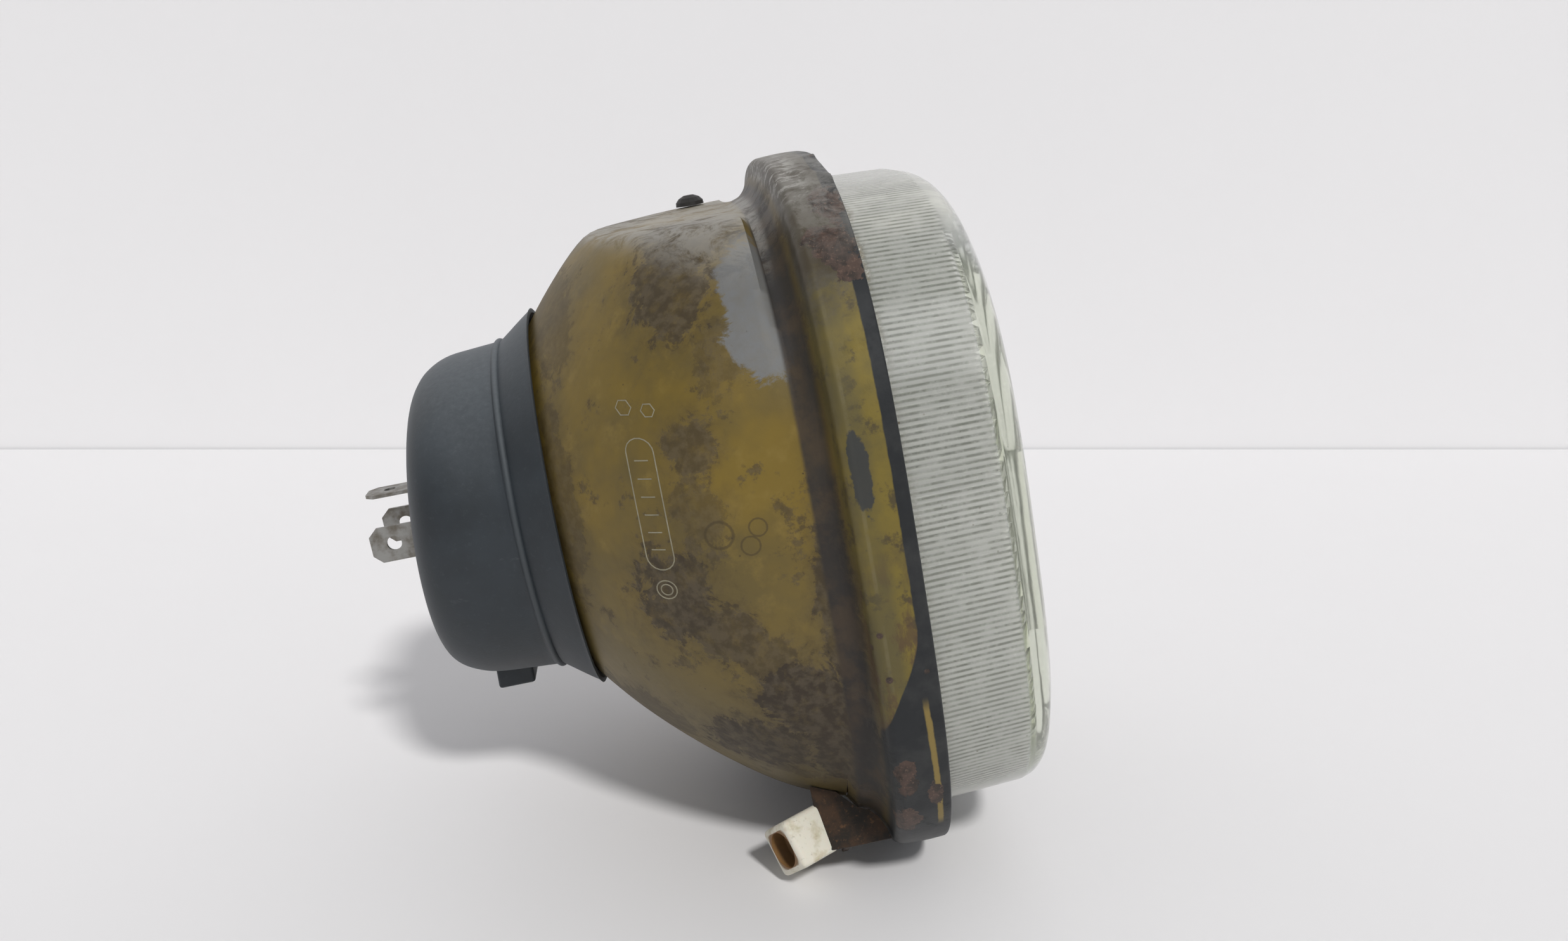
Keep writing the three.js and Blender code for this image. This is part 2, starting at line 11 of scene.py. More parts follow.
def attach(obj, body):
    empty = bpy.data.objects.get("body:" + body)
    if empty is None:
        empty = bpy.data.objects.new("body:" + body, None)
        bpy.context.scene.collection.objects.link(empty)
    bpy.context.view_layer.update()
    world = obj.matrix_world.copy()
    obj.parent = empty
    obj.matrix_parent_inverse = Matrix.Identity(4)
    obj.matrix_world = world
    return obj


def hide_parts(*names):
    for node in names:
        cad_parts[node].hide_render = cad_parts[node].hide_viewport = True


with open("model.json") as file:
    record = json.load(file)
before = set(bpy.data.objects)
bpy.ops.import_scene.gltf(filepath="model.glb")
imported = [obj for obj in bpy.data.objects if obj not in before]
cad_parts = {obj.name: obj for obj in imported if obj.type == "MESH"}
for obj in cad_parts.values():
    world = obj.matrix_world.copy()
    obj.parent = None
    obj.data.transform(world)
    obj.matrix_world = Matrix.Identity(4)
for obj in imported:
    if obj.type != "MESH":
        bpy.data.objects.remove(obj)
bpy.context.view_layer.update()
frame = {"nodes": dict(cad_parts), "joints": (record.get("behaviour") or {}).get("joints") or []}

scene = bpy.context.scene
scene.view_settings.view_transform = "Standard"

# The lamp's own frame, in millimetres: u along the bulb axis towards the lens, y across, v up.
# Its directions come from the boot's slide, and its place from the clip's hinge.
JOINTS = {j["name"]: j for j in frame["joints"]}
ALONG = -Vector(JOINTS["boot_pull"]["axis"]).normalized()
ACROSS = Vector((0, 1, 0))
UP = ALONG.cross(ACROSS)
HINGE_U, HINGE_V = -82, 33.8
MM = 0.001
ORIGIN = Vector(JOINTS["clip_swing"]["pos_m"]) - (ALONG * HINGE_U + UP * HINGE_V) * MM
TURN = Matrix((ALONG, ACROSS, UP)).transposed().to_4x4()
TO_ROW = Matrix.Translation(ORIGIN) @ TURN @ Matrix.Scale(MM, 4)

# The shapes' driving dimensions, as in the CAD model.
RIM_HALF_WIDTH = 78
RIM_HALF_HEIGHT = 75.5
OUTLINE_POWER = 2.9
RIM_DEPTH = 11
SHEET = 0.8
AXIS_V = 8.8
BOWL_U, BOWL_RADIUS, FOCAL_LENGTH = -66.4, 41.2, 27
NECK_U = -78
BODY_INSET, TOP_INSET, SIDE_DRAFT = 8.6, 2.6, 0.05
TOP_FLAT_V = 66.4
LENS_REAR_U, LENS_EDGE_U, LENS_DOME, LENS_GLASS = -8.3, 24.6, 4.2, 5
FLUTES, FLUTE_DEPTH, FLUTE_END_U, FACE_INSET = 384, 0.5, 18.4, 15.2
BOOT_END_U, BOOT_CUP, BOOT_SKIRT, BOOT_WALL, BOOT_TILT = -98.8, 37.4, 43.6, 2.3, 0.07
BOOT_POINTS = 128
BLADE_SPACING, BLADE_V, TOP_BLADE_V = 17, AXIS_V - 1, AXIS_V + 9
NUT_Y, NUT_V, NUT_TURN, NUT_HALF, NUT_BACK_U = 44, -62, 58, 5.2, -36.6
NUT_SWIVEL = 32
PLATE_U, PLATE = -20.8, 1.5
FOOT_U = -33.4


# ---- meshes ----


def finish_mesh(bm, name, body, materials, smooth_angle, replaces=()):
    """A piece in the row frame from a bmesh in the lamp frame, riding on its body."""
    bmesh.ops.recalc_face_normals(bm, faces=bm.faces)
    bm.transform(TO_ROW)
    mesh = bpy.data.meshes.new(name)
    bm.to_mesh(mesh)
    bm.free()
    for material in materials:
        mesh.materials.append(material)
    mesh.shade_smooth()
    mesh.set_sharp_from_angle(angle=math.radians(smooth_angle))
    piece = bpy.data.objects.new(name, mesh)
    scene.collection.objects.link(piece)
    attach(piece, body)
    if replaces:
        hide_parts(*replaces)
    return piece


def stitch(bm, a, b, material=0):
    """Faces between two closed rings of vertices, the longer a whole number of times the shorter."""
    if len(a) > len(b):
        a, b = b, a
    if len(a) == 1:
        for i in range(len(b)):
            bm.faces.new((a[0], b[i], b[(i + 1) % len(b)])).material_index = material
        return
    step = len(b) // len(a)
    for i in range(len(a)):
        j = (i + 1) % len(a)
        fine = [b[(i * step + k) % len(b)] for k in range(step + 1)]
        middle = step // 2
        if step == 1:
            bm.faces.new((a[i], fine[0], fine[1], a[j])).material_index = material
            continue
        for k in range(step):
            corner = a[i] if k < middle else a[j]
            bm.faces.new((corner, fine[k], fine[k + 1])).material_index = material
        bm.faces.new((a[i], fine[middle], a[j])).material_index = material


def loft(bm, rings, wrap=False, material_of=None):
    """Faces over a list of rings of points; material_of gives each band's material."""
    rows = [[bm.verts.new(p) for p in ring] for ring in rings]
    pairs = list(zip(rows, rows[1:]))
    if wrap:
        pairs.append((rows[-1], rows[0]))
    for i, (a, b) in enumerate(pairs):
        stitch(bm, a, b, material_of(i) if material_of else 0)
    return rows


def ring_at(u, radius, angles):
    """Points about the bulb axis at u, with a radius for each angle."""
    return [
        Vector((u, r * math.cos(t), AXIS_V + r * math.sin(t)))
        for t, r in zip(angles, np.broadcast_to(radius, len(angles)))
    ]


def even_angles(count):
    return np.arange(count) * 2 * math.pi / count


def revolve(bm, profile, count):
    angles = even_angles(count)
    loft(bm, [[Vector((u, 0, AXIS_V))] if r == 0 else ring_at(u, r, angles) for u, r in profile])


def smooth_path(points, steps):
    """A finer line of points through these, curved between them (Catmull-Rom)."""
    p = [np.array(q, float) for q in points]
    p = [2 * p[0] - p[1], *p, 2 * p[-1] - p[-2]]
    out = []
    for a, b, c, d in zip(p, p[1:], p[2:], p[3:]):
        for k in range(steps):
            t = k / steps
            square = (2 * a - 5 * b + 4 * c - d) * t**2
            cube = (3 * b - a - 3 * c + d) * t**3
            out.append(0.5 * (2 * b + (c - a) * t + square + cube))
    return [*out, p[-2]]


def noise_at(x, y, z, seed):
    return noise.noise(Vector((x + seed, y - seed, z + 2 * seed)))


# ---- outlines ----


def outline_radius(angles, inset):
    """Distance from the bulb axis to the rounded square, inset evenly."""
    angles = np.asarray(angles, float)
    a, b = RIM_HALF_WIDTH - inset, RIM_HALF_HEIGHT - inset
    low, high = np.zeros_like(angles), np.full_like(angles, 200.0)
    for _ in range(34):
        r = (low + high) / 2
        y = np.abs(r * np.cos(angles)) / a
        v = np.abs(AXIS_V + r * np.sin(angles)) / b
        inside = y**OUTLINE_POWER + v**OUTLINE_POWER < 1
        low, high = np.where(inside, r, low), np.where(inside, high, r)
    return low


def soft_min(a, b, power):
    return (a**-power + b**-power) ** (-1 / power)


def bowl_radius(u):
    return math.sqrt(BOWL_RADIUS**2 + 4 * FOCAL_LENGTH * (u - BOWL_U))


def body_radius(angles, u):
    """Outer radius of the reflector behind its rim."""
    rise = np.sin(angles)
    inset = np.where(rise > 0, BODY_INSET + (TOP_INSET - BODY_INSET) * rise**2, BODY_INSET)
    side = outline_radius(angles, inset + SIDE_DRAFT * (-RIM_DEPTH - u))
    rounded = soft_min(np.full_like(side, bowl_radius(u)), side, 18)
    lid = (TOP_FLAT_V - AXIS_V) / np.maximum(rise, 0.1)
    return np.where(rise > 0.1, soft_min(rounded, lid, 90), rounded)


def even_outline(count, inset):
    """Angles that space points evenly along the outline."""
    fine = np.linspace(0, 2 * math.pi, 4001)
    r = outline_radius(fine, inset)
    x, y = r * np.cos(fine), r * np.sin(fine)
    length = np.concatenate([[0], np.cumsum(np.hypot(np.diff(x), np.diff(y)))])
    return np.interp(np.arange(count) * length[-1] / count, length, fine)


# ---- node material helpers ----


class Shader:
    """A material whose nodes are made by short calls."""

    def __init__(self, name):
        self.material = bpy.data.materials.new(name)
        self.material.use_nodes = True
        self.tree = self.material.node_tree
        self.bsdf = self.tree.nodes["Principled BSDF"]

    def node(self, kind, inputs=None, **settings):
        n = self.tree.nodes.new("ShaderNode" + kind)
        for key, value in settings.items():
            setattr(n, key, value)
        for key, value in (inputs or {}).items():
            self.set(n.inputs[key], value)
        return n

    def set(self, socket, value):
        if isinstance(value, bpy.types.NodeSocket):
            self.tree.links.new(value, socket)
        elif value is not None:
            socket.default_value = value

    def sum(self, operation, a, b=None, c=None, clamp=False):
        n = self.node("Math", operation=operation, use_clamp=clamp)
        for socket, value in zip(n.inputs, (a, b, c)):
            self.set(socket, value)
        return n.outputs[0]

    plus = partialmethod(sum, "ADD")
    minus = partialmethod(sum, "SUBTRACT")
    times = partialmethod(sum, "MULTIPLY")
    scaled = partialmethod(sum, "MULTIPLY_ADD")
    larger = partialmethod(sum, "MAXIMUM")
    absolute = partialmethod(sum, "ABSOLUTE")

    def vector(self, operation, a, b=None):
        return self.node("VectorMath", {0: a, 1: b}, operation=operation).outputs

    def mix(self, factor, a, b):
        """A colour between a and b."""
        n = self.node("Mix", {"Factor": factor, 6: rgba(a), 7: rgba(b)}, data_type="RGBA")
        return n.outputs[2]

    def blend(self, factor, a, b):
        """A number between a and b."""
        return self.node("Mix", {0: factor, 2: a, 3: b}, data_type="FLOAT").outputs[0]

    def coords(self):
        """Millimetres in the lamp's frame."""
        place = self.node("TexCoord").outputs["Object"]
        moved = self.vector("SUBTRACT", place, ORIGIN)[0]
        axes = [self.vector("DOT_PRODUCT", moved, axis / MM)["Value"] for axis in (ALONG, ACROSS, UP)]
        self.u, self.y, self.v = axes
        self.place = self.node("CombineXYZ", dict(zip("XYZ", axes))).outputs[0]

    def noise(self, size, detail=3.0, rough=0.55, offset=0.0, stretch=(1, 1, 1), distortion=0.0):
        """Noise from 0 to 1 whose blobs are about size millimetres."""
        inputs = {
            "Vector": self.mapped((offset, offset * 1.7, -offset), size, stretch),
            "Scale": 1.0,
            "Detail": detail,
            "Roughness": rough,
            "Distortion": distortion,
        }
        return self.node("TexNoise", inputs).outputs["Fac"]

    def cells(self, size, offset):
        """Distance from scattered points about size millimetres apart."""
        place = self.mapped((offset, -offset, offset * 0.6), size, (1, 1, 1))
        return self.node("TexVoronoi", {"Vector": place, "Scale": 1.0}).outputs["Distance"]

    def mapped(self, location, size, stretch):
        scale = tuple(s / size for s in stretch)
        inputs = {"Vector": self.place, "Location": location, "Scale": scale}
        return self.node("Mapping", inputs).outputs[0]

    def step(self, value, low, high):
        """0 below low to 1 above high, smooth between; high below low turns it round."""
        inputs = {"Value": value, "From Min": low, "From Max": high}
        return self.node("MapRange", inputs, interpolation_type="SMOOTHSTEP").outputs[0]

    def attribute(self, name):
        return self.node("Attribute", attribute_name=name).outputs["Fac"]

    def near(self, centre, radii, wobble=None):
        """Distance from an ellipsoid about centre, in its own radii; wobble roughens its edge."""
        scaled = self.vector("DIVIDE", self.vector("SUBTRACT", self.place, centre)[0], radii)[0]
        length = self.vector("LENGTH", scaled)["Value"]
        return length if wobble is None else self.plus(length, wobble)

    def facing_up(self):
        """1 where the surface faces up, 0 where it is upright."""
        normal = self.node("NewGeometry").outputs["Normal"]
        return self.vector("DOT_PRODUCT", normal, (0, 0, 1))["Value"]

    def bump(self, height, distance_mm, strength, under=None):
        inputs = {"Height": height, "Distance": distance_mm * MM, "Strength": strength, "Normal": under}
        return self.node("Bump", inputs).outputs[0]

    def out(self, **sockets):
        for key, value in sockets.items():
            name = key.replace("_", " ").title().replace("Ior", "IOR")
            if isinstance(value, tuple):
                value = rgba(value)
            self.set(self.bsdf.inputs[name], value)
        return self.material


def rgba(value):
    return (*value, 1.0) if isinstance(value, tuple) and len(value) == 3 else value


def linear(red, green, blue):
    """A colour given as screen values from 0 to 255."""
    return tuple(
        (c / 12.92 if c <= 0.04045 else ((c + 0.055) / 1.055) ** 2.4)
        for c in (red / 255, green / 255, blue / 255)
    )


# ---- materials ----


def lacquer():
    """Golden lacquer on pressed steel, stained brown and grey, with the rim's paint and rust."""
    s = Shader("worn_golden_lacquer")
    s.coords()
    large = s.noise(24, 4, 0.6, 3.1)
    middle = s.noise(9, 5, 0.65, 11.3)
    fine = s.noise(2.2, 4, 0.6, 5.7)
    grit = s.noise(0.5, 3, 0.6, 1.9)
    gold = s.mix(s.step(large, 0.35, 0.65), linear(118, 98, 38), linear(97, 83, 43))
    gold = s.mix(s.step(middle, 0.5, 0.75), gold, linear(127, 107, 50))
    gold = s.mix(s.step(s.v, 18, -40), gold, linear(104, 90, 52))
    # Brown stains: most in two bands down the near side, low by the rim and round the boot.
    ragged = s.noise(7, 8, 0.78, 17.0, distortion=0.6)
    wobble = s.scaled(ragged, 3.0, -1.5)
    wobble = s.plus(wobble, s.scaled(fine, 0.9, -0.45))
    bands = [
        ((-34.5, -48, 57), (7, 16, 9), 0.8), ((-30, -40, 65), (9, 16, 6), 0.7),
        ((-37, -63, 29), (4, 14, 5), 0.7), ((-38, -65, 17), (5, 12, 4.5), 0.5),
        ((-29, -60, 45), (4.5, 14, 7), 0.45), ((-45, -61, 0), (6.5, 14, 8.5), 0.85),
        ((-37, -65, -8), (5.5, 14, 5.5), 0.75), ((-23, -66, -24), (9, 14, 8), 1.0),
        ((-30, -66, -14), (5, 12, 4.5), 0.65), ((-15, -70, -8), (4, 12, 17), 0.8),
        ((-18, -66, -38), (8, 12, 11), 1.0), ((-35, -55, -36), (12, 14, 7), 0.9),
        ((-57, -29, -34), (12, 18, 7), 0.6), ((-61, -18, 52), (6, 20, 10), 0.5),
        ((-64, -43, 19), (2.8, 14, 20), 0.55), ((-50, 30, 60), (16, 22, 14), 0.7),
        ((-36, 60, 26), (8, 16, 14), 0.8), ((-40, 50, -34), (12, 16, 10), 0.8),
        ((-44, -4, -62), (20, 40, 10), 0.8),
    ]
    stain = s.times(s.step(s.noise(12, 8, 0.74, 21.0), 0.54, 0.61), 0.62)
    for centre, radii, strength in bands:
        away = s.near(centre, radii, wobble)
        stain = s.larger(stain, s.times(s.step(away, 1.32, 1.0), strength))
        stain = s.larger(stain, s.times(s.step(away, 2.1, 0.8), strength * 0.5))
    broken = s.step(s.noise(3.2, 8, 0.7, 41.0), 0.3, 0.55)
    stain = s.times(stain, s.scaled(broken, 0.4, 0.68), clamp=True)
    brown = s.mix(s.step(fine, 0.4, 0.62), linear(58, 49, 38), linear(80, 71, 57))
    colour = s.mix(stain, gold, brown)
    # Darker towards the bottom, nearer the rim, broken up by noise.
    low_front_dark = s.times(s.step(s.v, -14, -44), s.step(s.u, -44, -20))
    low_front_dark = s.times(low_front_dark, s.scaled(ragged, 1.6, -0.35, clamp=True))
    colour = s.mix(s.times(low_front_dark, 0.85), colour, linear(58, 50, 40))
    # Bare grey steel beside the rim near the top.
    grey_edge = s.near((-19, -56, 51), (7.5, 18, 15), s.scaled(ragged, 1.6, -0.8))
    bare = s.times(s.step(grey_edge, 1.12, 0.92), s.step(s.u, -13, -16))
    bare = s.times(bare, s.scaled(fine, 0.5, 0.68, clamp=True))
    colour = s.mix(bare, colour, linear(112, 113, 113))
    # Dried water rings.
    drops = (((-34.8, -65.9, 12), 2.6), ((-27.5, -67.4, 12.5), 1.7), ((-29.4, -67.2, 9.2), 1.8))
    for centre, radius in drops:
        distance = s.near(centre, (radius, radius * 2.2, radius), s.scaled(grit, 0.16, -0.08))
        line = s.step(s.absolute(s.minus(distance, 1.0)), 0.16, 0.04)
        colour = s.mix(s.times(line, 0.6), colour, linear(62, 51, 32))
    # Dark specks.
    specks = s.step(s.cells(2.6, 4.0), 0.09, 0.04)
    colour = s.mix(s.times(specks, s.step(middle, 0.48, 0.6)), colour, linear(52, 42, 30))
    # The groove behind the rim is painted dark as shade, over some dirt.
    groove_shade = s.times(s.step(s.u, -17.7, -16.7), s.step(s.u, -11.4, -13.2))
    groove_dirt_and_shade = s.mix(s.step(middle, 0.42, 0.62), linear(46, 43, 41), linear(64, 54, 44))
    colour = s.mix(s.times(groove_shade, 0.93), colour, groove_dirt_and_shade)
    colour, rim_bare = rim_paint(s, colour, large, middle, fine, grit)
    # Dust and a painted reflection of the pale surroundings lie on what faces up.
    dust_and_sheen = s.times(s.step(s.facing_up(), 0.6, 0.93), s.step(ragged, 0.36, 0.56))
    dust_and_sheen = s.times(dust_and_sheen, s.blend(s.step(s.u, -12, -10), 0.62, 0.36))
    colour = s.mix(dust_and_sheen, colour, linear(168, 166, 160))
    rough = s.blend(stain, 0.42, 0.58)
    rough = s.blend(bare, rough, 0.46)
    rough = s.plus(rough, s.times(fine, 0.1))
    height = s.plus(s.times(stain, 0.35), s.times(grit, 0.25))
    height = s.minus(height, s.times(rim_bare, 0.9))
    normal = s.bump(height, 0.12, 0.6, s.bump(large, 0.9, 0.35))
    return s.out(base_color=colour, roughness=rough, metallic=0.2, normal=normal, specular_ior_level=0.45)


def rim_paint(s, colour, large, middle, fine, grit):
    """The rim: grey-brown above, yellow in the middle, black in front and below, with chips of rust."""
    on_rim = s.step(s.u, -12.4, -11.4)
    turn = s.sum("ARCTAN2", s.minus(s.v, AXIS_V), s.absolute(s.y))
    angle = s.times(turn, 180 / math.pi)
    ragged = s.scaled(fine, 1.2, -0.6)
    rim = s.mix(s.step(middle, 0.35, 0.7), linear(116, 101, 42), linear(99, 88, 45))
    rim = s.mix(s.times(s.step(s.noise(5, 5, 0.7, 8.0), 0.52, 0.64), 0.8), rim, linear(64, 56, 42))
    # Greenish wear along the rear half.
    rear = s.times(s.step(s.plus(s.u, ragged), -4.6, -7.2), s.step(large, 0.3, 0.6))
    rim = s.mix(s.times(rear, 0.75), rim, linear(84, 77, 50))
    smear = s.step(s.noise(6, 7, 0.72, 61.0, (1, 1, 0.35)), 0.45, 0.56)
    smear = s.times(smear, s.step(s.v, 14, -14))
    rim = s.mix(s.times(smear, 0.8), rim, linear(80, 62, 44))
    # A painted highlight along the rim's rear edge.
    rear_edge_highlight = s.step(s.absolute(s.plus(s.u, 8.9)), 0.55, 0.15)
    rear_edge_highlight = s.times(rear_edge_highlight, s.step(middle, 0.42, 0.6))
    rim = s.mix(s.times(rear_edge_highlight, 0.18), rim, linear(140, 132, 104))
    upper = s.step(s.plus(angle, s.times(ragged, 14)), 27, 38)
    worn = s.mix(s.step(middle, 0.4, 0.62), linear(84, 79, 68), linear(70, 62, 47))
    rim = s.mix(upper, rim, worn)
    # Black from the front edge back: a strip beside the yellow, and all of the lower corner.
    sag = s.times(s.step(angle, -13, -31), 9.5)
    edge = s.minus(s.minus(s.u, s.times(ragged, 0.35)), -2.7)
    strip = s.step(s.plus(edge, sag), -0.25, 0.1)
    black = s.mix(s.step(middle, 0.4, 0.7), linear(32, 34, 36), linear(48, 49, 49))
    below = s.step(s.plus(angle, s.times(ragged, 3)), -29, -32)
    black_all = s.larger(strip, below)
    rim = s.mix(black_all, rim, black)
    # A dark dab on the yellow, and a yellow streak through the black.
    dab = s.near((-8.2, -77, 21.5), (1.9, 9, 8.5), s.times(ragged, 0.9))
    rim = s.mix(s.times(s.step(dab, 1.05, 0.9), 0.9), rim, linear(50, 53, 55))
    run = s.absolute(s.plus(s.u, s.scaled(s.v, 0.03, 3.9)))
    run = s.plus(run, s.times(ragged, 0.5))
    length = s.times(s.step(s.v, -57, -54), s.step(s.v, -23, -27))
    streak = s.times(s.step(run, 0.75, 0.4), s.times(length, s.step(s.y, 0, -5)))
    rim = s.mix(streak, rim, linear(128, 110, 60))
    # Peeled chips with rust in them.
    sharp = s.scaled(s.noise(3.4, 5, 0.75, 31.0), 2.4, -1.2)
    chips = [
        ((-3.2, -51, 67), (3.2, 7, 3.6)), ((-4.6, -60, 60.5), (4.6, 6, 3.8)),
        ((-2.6, -64.5, 56.5), (2.6, 3, 3.6)), ((-8.6, -73, -41), (2, 5, 4.4)),
        ((-8.8, -66, -53), (2.4, 5, 4)), ((-3, -70.4, -46.5), (1.4, 3, 3.5)),
        ((-5, 62, 58), (4, 8, 6)), ((-6, 76, -12), (3, 6, 9)),
    ]
    chipped = s.times(s.step(s.cells(5.5, 9.0), 0.15, 0.1), s.step(large, 0.5, 0.6))
    for centre, radii in chips:
        chipped = s.larger(chipped, s.step(s.near(centre, radii, sharp), 1.04, 0.98))
    rust = s.mix(s.step(fine, 0.38, 0.6), linear(52, 44, 39), linear(78, 62, 54))
    rust = s.mix(s.step(grit, 0.55, 0.7), rust, linear(102, 82, 70))
    # The crown is scuffed white.
    crown = s.times(s.step(s.v, 66, 73), s.step(s.noise(2.6, 7, 0.74, 51.0, (0.5, 1, 1)), 0.5, 0.58))
    crown = s.times(crown, s.step(s.u, -3.5, -7))
    rim = s.mix(s.times(crown, 0.75), rim, linear(176, 174, 168))
    rim = s.mix(chipped, rim, rust)
    return s.mix(on_rim, colour, rim), s.times(chipped, on_rim)


def mirror_coat():
    """The reflector's bright inside, hazed with age."""
    s = Shader("aluminised_reflector")
    s.coords()
    haze = s.noise(20, 5, 0.6, 7.0)
    colour = s.mix(s.step(haze, 0.35, 0.7), (0.86, 0.86, 0.85), (0.72, 0.71, 0.66))
    rough = s.blend(s.step(haze, 0.3, 0.75), 0.08, 0.26)
    return s.out(base_color=colour, roughness=rough, metallic=1.0)


def lens_glass():
    """Pressed glass, faintly green, scuffed, with dust and a painted reflection on top, painted shade along
    the flutes, and grime in the corner by the rim.
    """
    s = Shader("pressed_lens_glass")
    s.coords()
    large = s.noise(22, 4, 0.6, 2.0)
    middle = s.noise(5, 6, 0.7, 13.0)
    fine = s.noise(0.7, 4, 0.65, 6.0)
    # Dust and a painted reflection on the top of the glass, where it faces up.
    upper = s.times(s.step(s.facing_up(), 0.55, 0.95), s.step(s.v, 48, 62))
    streaks = s.noise(4, 5, 0.6, 19.0, (0.3, 1, 1))
    dust_and_sheen = s.times(upper, s.scaled(s.step(streaks, 0.25, 0.75), 0.3, 0.42))
    # The film of dust is thicker on the side wall. Over each groove of the flutes inside, and along each
    # flute on the outer wall, shade is painted in darker so the flutes show.
    film_and_flute_shade = s.scaled(s.step(large, 0.3, 0.7), 0.05, 0.06)
    wall = s.step(s.u, 19.2, 17.8)
    line = s.times(s.step(s.attribute("flute_line_shade"), 0.3, 0.85), wall)
    film_and_flute_shade = s.plus(film_and_flute_shade, s.times(wall, 0.29))
    film_and_flute_shade = s.plus(film_and_flute_shade, s.times(s.attribute("flute_groove_shade"), 0.24))
    film_and_flute_shade = s.plus(film_and_flute_shade, s.times(s.step(fine, 0.55, 0.7), 0.06))
    # Grime in the corner where the glass leaves the rim, worst at the top and the foot.
    corner = s.step(s.plus(s.u, s.scaled(middle, 7.0, -3.5)), 2.8, 0.2)
    ends = s.larger(s.step(s.v, 34, 54), s.step(s.v, -44, -60))
    grime = s.times(corner, s.scaled(ends, 0.6, 0.3))
    specks = s.step(s.cells(3.4, 2.0), 0.075, 0.045)
    smudges = s.step(s.noise(1.6, 6, 0.8, 27.0, (0.5, 1, 1)), 0.69, 0.73)
    patch = s.larger(s.step(s.near((6, -66, 36), (9, 20, 20)), 1.2, 0.5), ends)
    marks = s.larger(specks, s.times(smudges, patch))
    marks = s.times(marks, s.times(s.step(large, 0.4, 0.55), s.step(s.u, 19, 16)))
    covered = s.larger(s.larger(dust_and_sheen, film_and_flute_shade), s.times(grime, 0.9))
    covered = s.larger(covered, marks)
    colour = s.mix(s.step(covered, 0.1, 0.6), (0.93, 0.955, 0.905), linear(222, 222, 214))
    # Painted shade along each flute on the outer wall, uneven in strength.
    uneven = s.scaled(s.step(middle, 0.35, 0.6), 0.6, 0.25)
    colour = s.mix(s.times(line, uneven), colour, linear(142, 145, 133))
    band = s.step(s.u, FLUTE_END_U - 0.2, FLUTE_END_U + 0.3)
    band = s.times(band, s.step(s.absolute(s.y), 52, 58))
    colour = s.mix(s.times(band, 0.85), colour, (0.72, 0.76, 0.58))
    colour = s.mix(s.times(grime, s.step(fine, 0.3, 0.55)), colour, linear(120, 110, 86))
    # Painted shade over each groove of the flutes inside.
    colour = s.mix(s.times(s.attribute("flute_groove_shade"), 0.8), colour, linear(150, 152, 138))
    glint = s.times(s.attribute("flute_tip"), s.step(s.noise(2.2, 3, 0.6, 33.0), 0.46, 0.56))
    colour = s.mix(glint, colour, linear(250, 250, 246))
    covered = s.larger(covered, s.times(glint, 0.75))
    colour = s.mix(marks, colour, linear(84, 76, 62))
    clear = s.minus(1.0, covered)
    rough = s.scaled(covered, 0.3, 0.05)
    return s.out(
        base_color=colour,
        roughness=rough,
        transmission_weight=clear,
        ior=1.5,
        normal=s.bump(s.noise(4, 3, 0.5, 4.0), 0.08, 0.25),
    )


def rubber():
    """Matt blue-black rubber, dusted grey and given a painted sheen where it bulges up."""
    s = Shader("aged_black_rubber")
    s.coords()
    large = s.noise(18, 4, 0.6, 9.0)
    fine = s.noise(1.2, 4, 0.7, 2.0)
    colour = s.mix(s.step(large, 0.3, 0.7), linear(31, 36, 40), linear(41, 47, 52))
    colour = s.mix(s.times(s.step(fine, 0.55, 0.75), 0.25), colour, linear(64, 69, 73))
    worn = s.step(s.attribute("edge_wear"), 0.25, 0.8)
    colour = s.mix(s.times(worn, 0.35), colour, linear(82, 87, 90))
    scuffs = s.step(s.noise(3, 5, 0.7, 14.0, (0.35, 1, 1)), 0.66, 0.74)
    colour = s.mix(s.times(scuffs, 0.3), colour, linear(76, 80, 83))
    # Dust and a painted sheen make what faces up lighter.
    dust_and_sheen = s.times(s.step(s.facing_up(), 0.2, 1.0), s.scaled(fine, 0.4, 0.2))
    colour = s.mix(dust_and_sheen, colour, linear(116, 122, 127))
    rough = s.scaled(large, 0.14, 0.5)
    return s.out(
        base_color=colour,
        roughness=rough,
        normal=s.bump(s.noise(0.45, 3, 0.6, 3.0), 0.06, 0.5),
        sheen_weight=0.12,
        sheen_roughness=0.4,
        sheen_tint=linear(150, 158, 166),
    )


def dull_metal(name, light, dark, low=0.3, high=0.5):
    """Mottled metal with fine brushed lines."""
    s = Shader(name)
    s.coords()
    mottle = s.noise(3.0, 5, 0.6, 5.0)
    fine = s.noise(0.5, 3, 0.6, 8.0, (0.2, 1, 1))
    colour = s.mix(s.step(mottle, 0.35, 0.68), light, dark)
    rough = s.blend(mottle, low, high)
    return s.out(base_color=colour, roughness=rough, metallic=0.9, normal=s.bump(fine, 0.03, 0.5))


def rusty_steel():
    s = Shader("rusty_bracket_steel")
    s.coords()
    middle = s.noise(5, 5, 0.65, 3.0)
    fine = s.noise(0.9, 4, 0.7, 6.0)
    colour = s.mix(s.step(middle, 0.4, 0.62), linear(44, 39, 34), linear(68, 51, 38))
    colour = s.mix(s.step(fine, 0.55, 0.72), colour, linear(98, 72, 50))
    height = s.plus(middle, s.times(fine, 0.5))
    return s.out(base_color=colour, roughness=0.72, metallic=0.35, normal=s.bump(height, 0.15, 0.7))


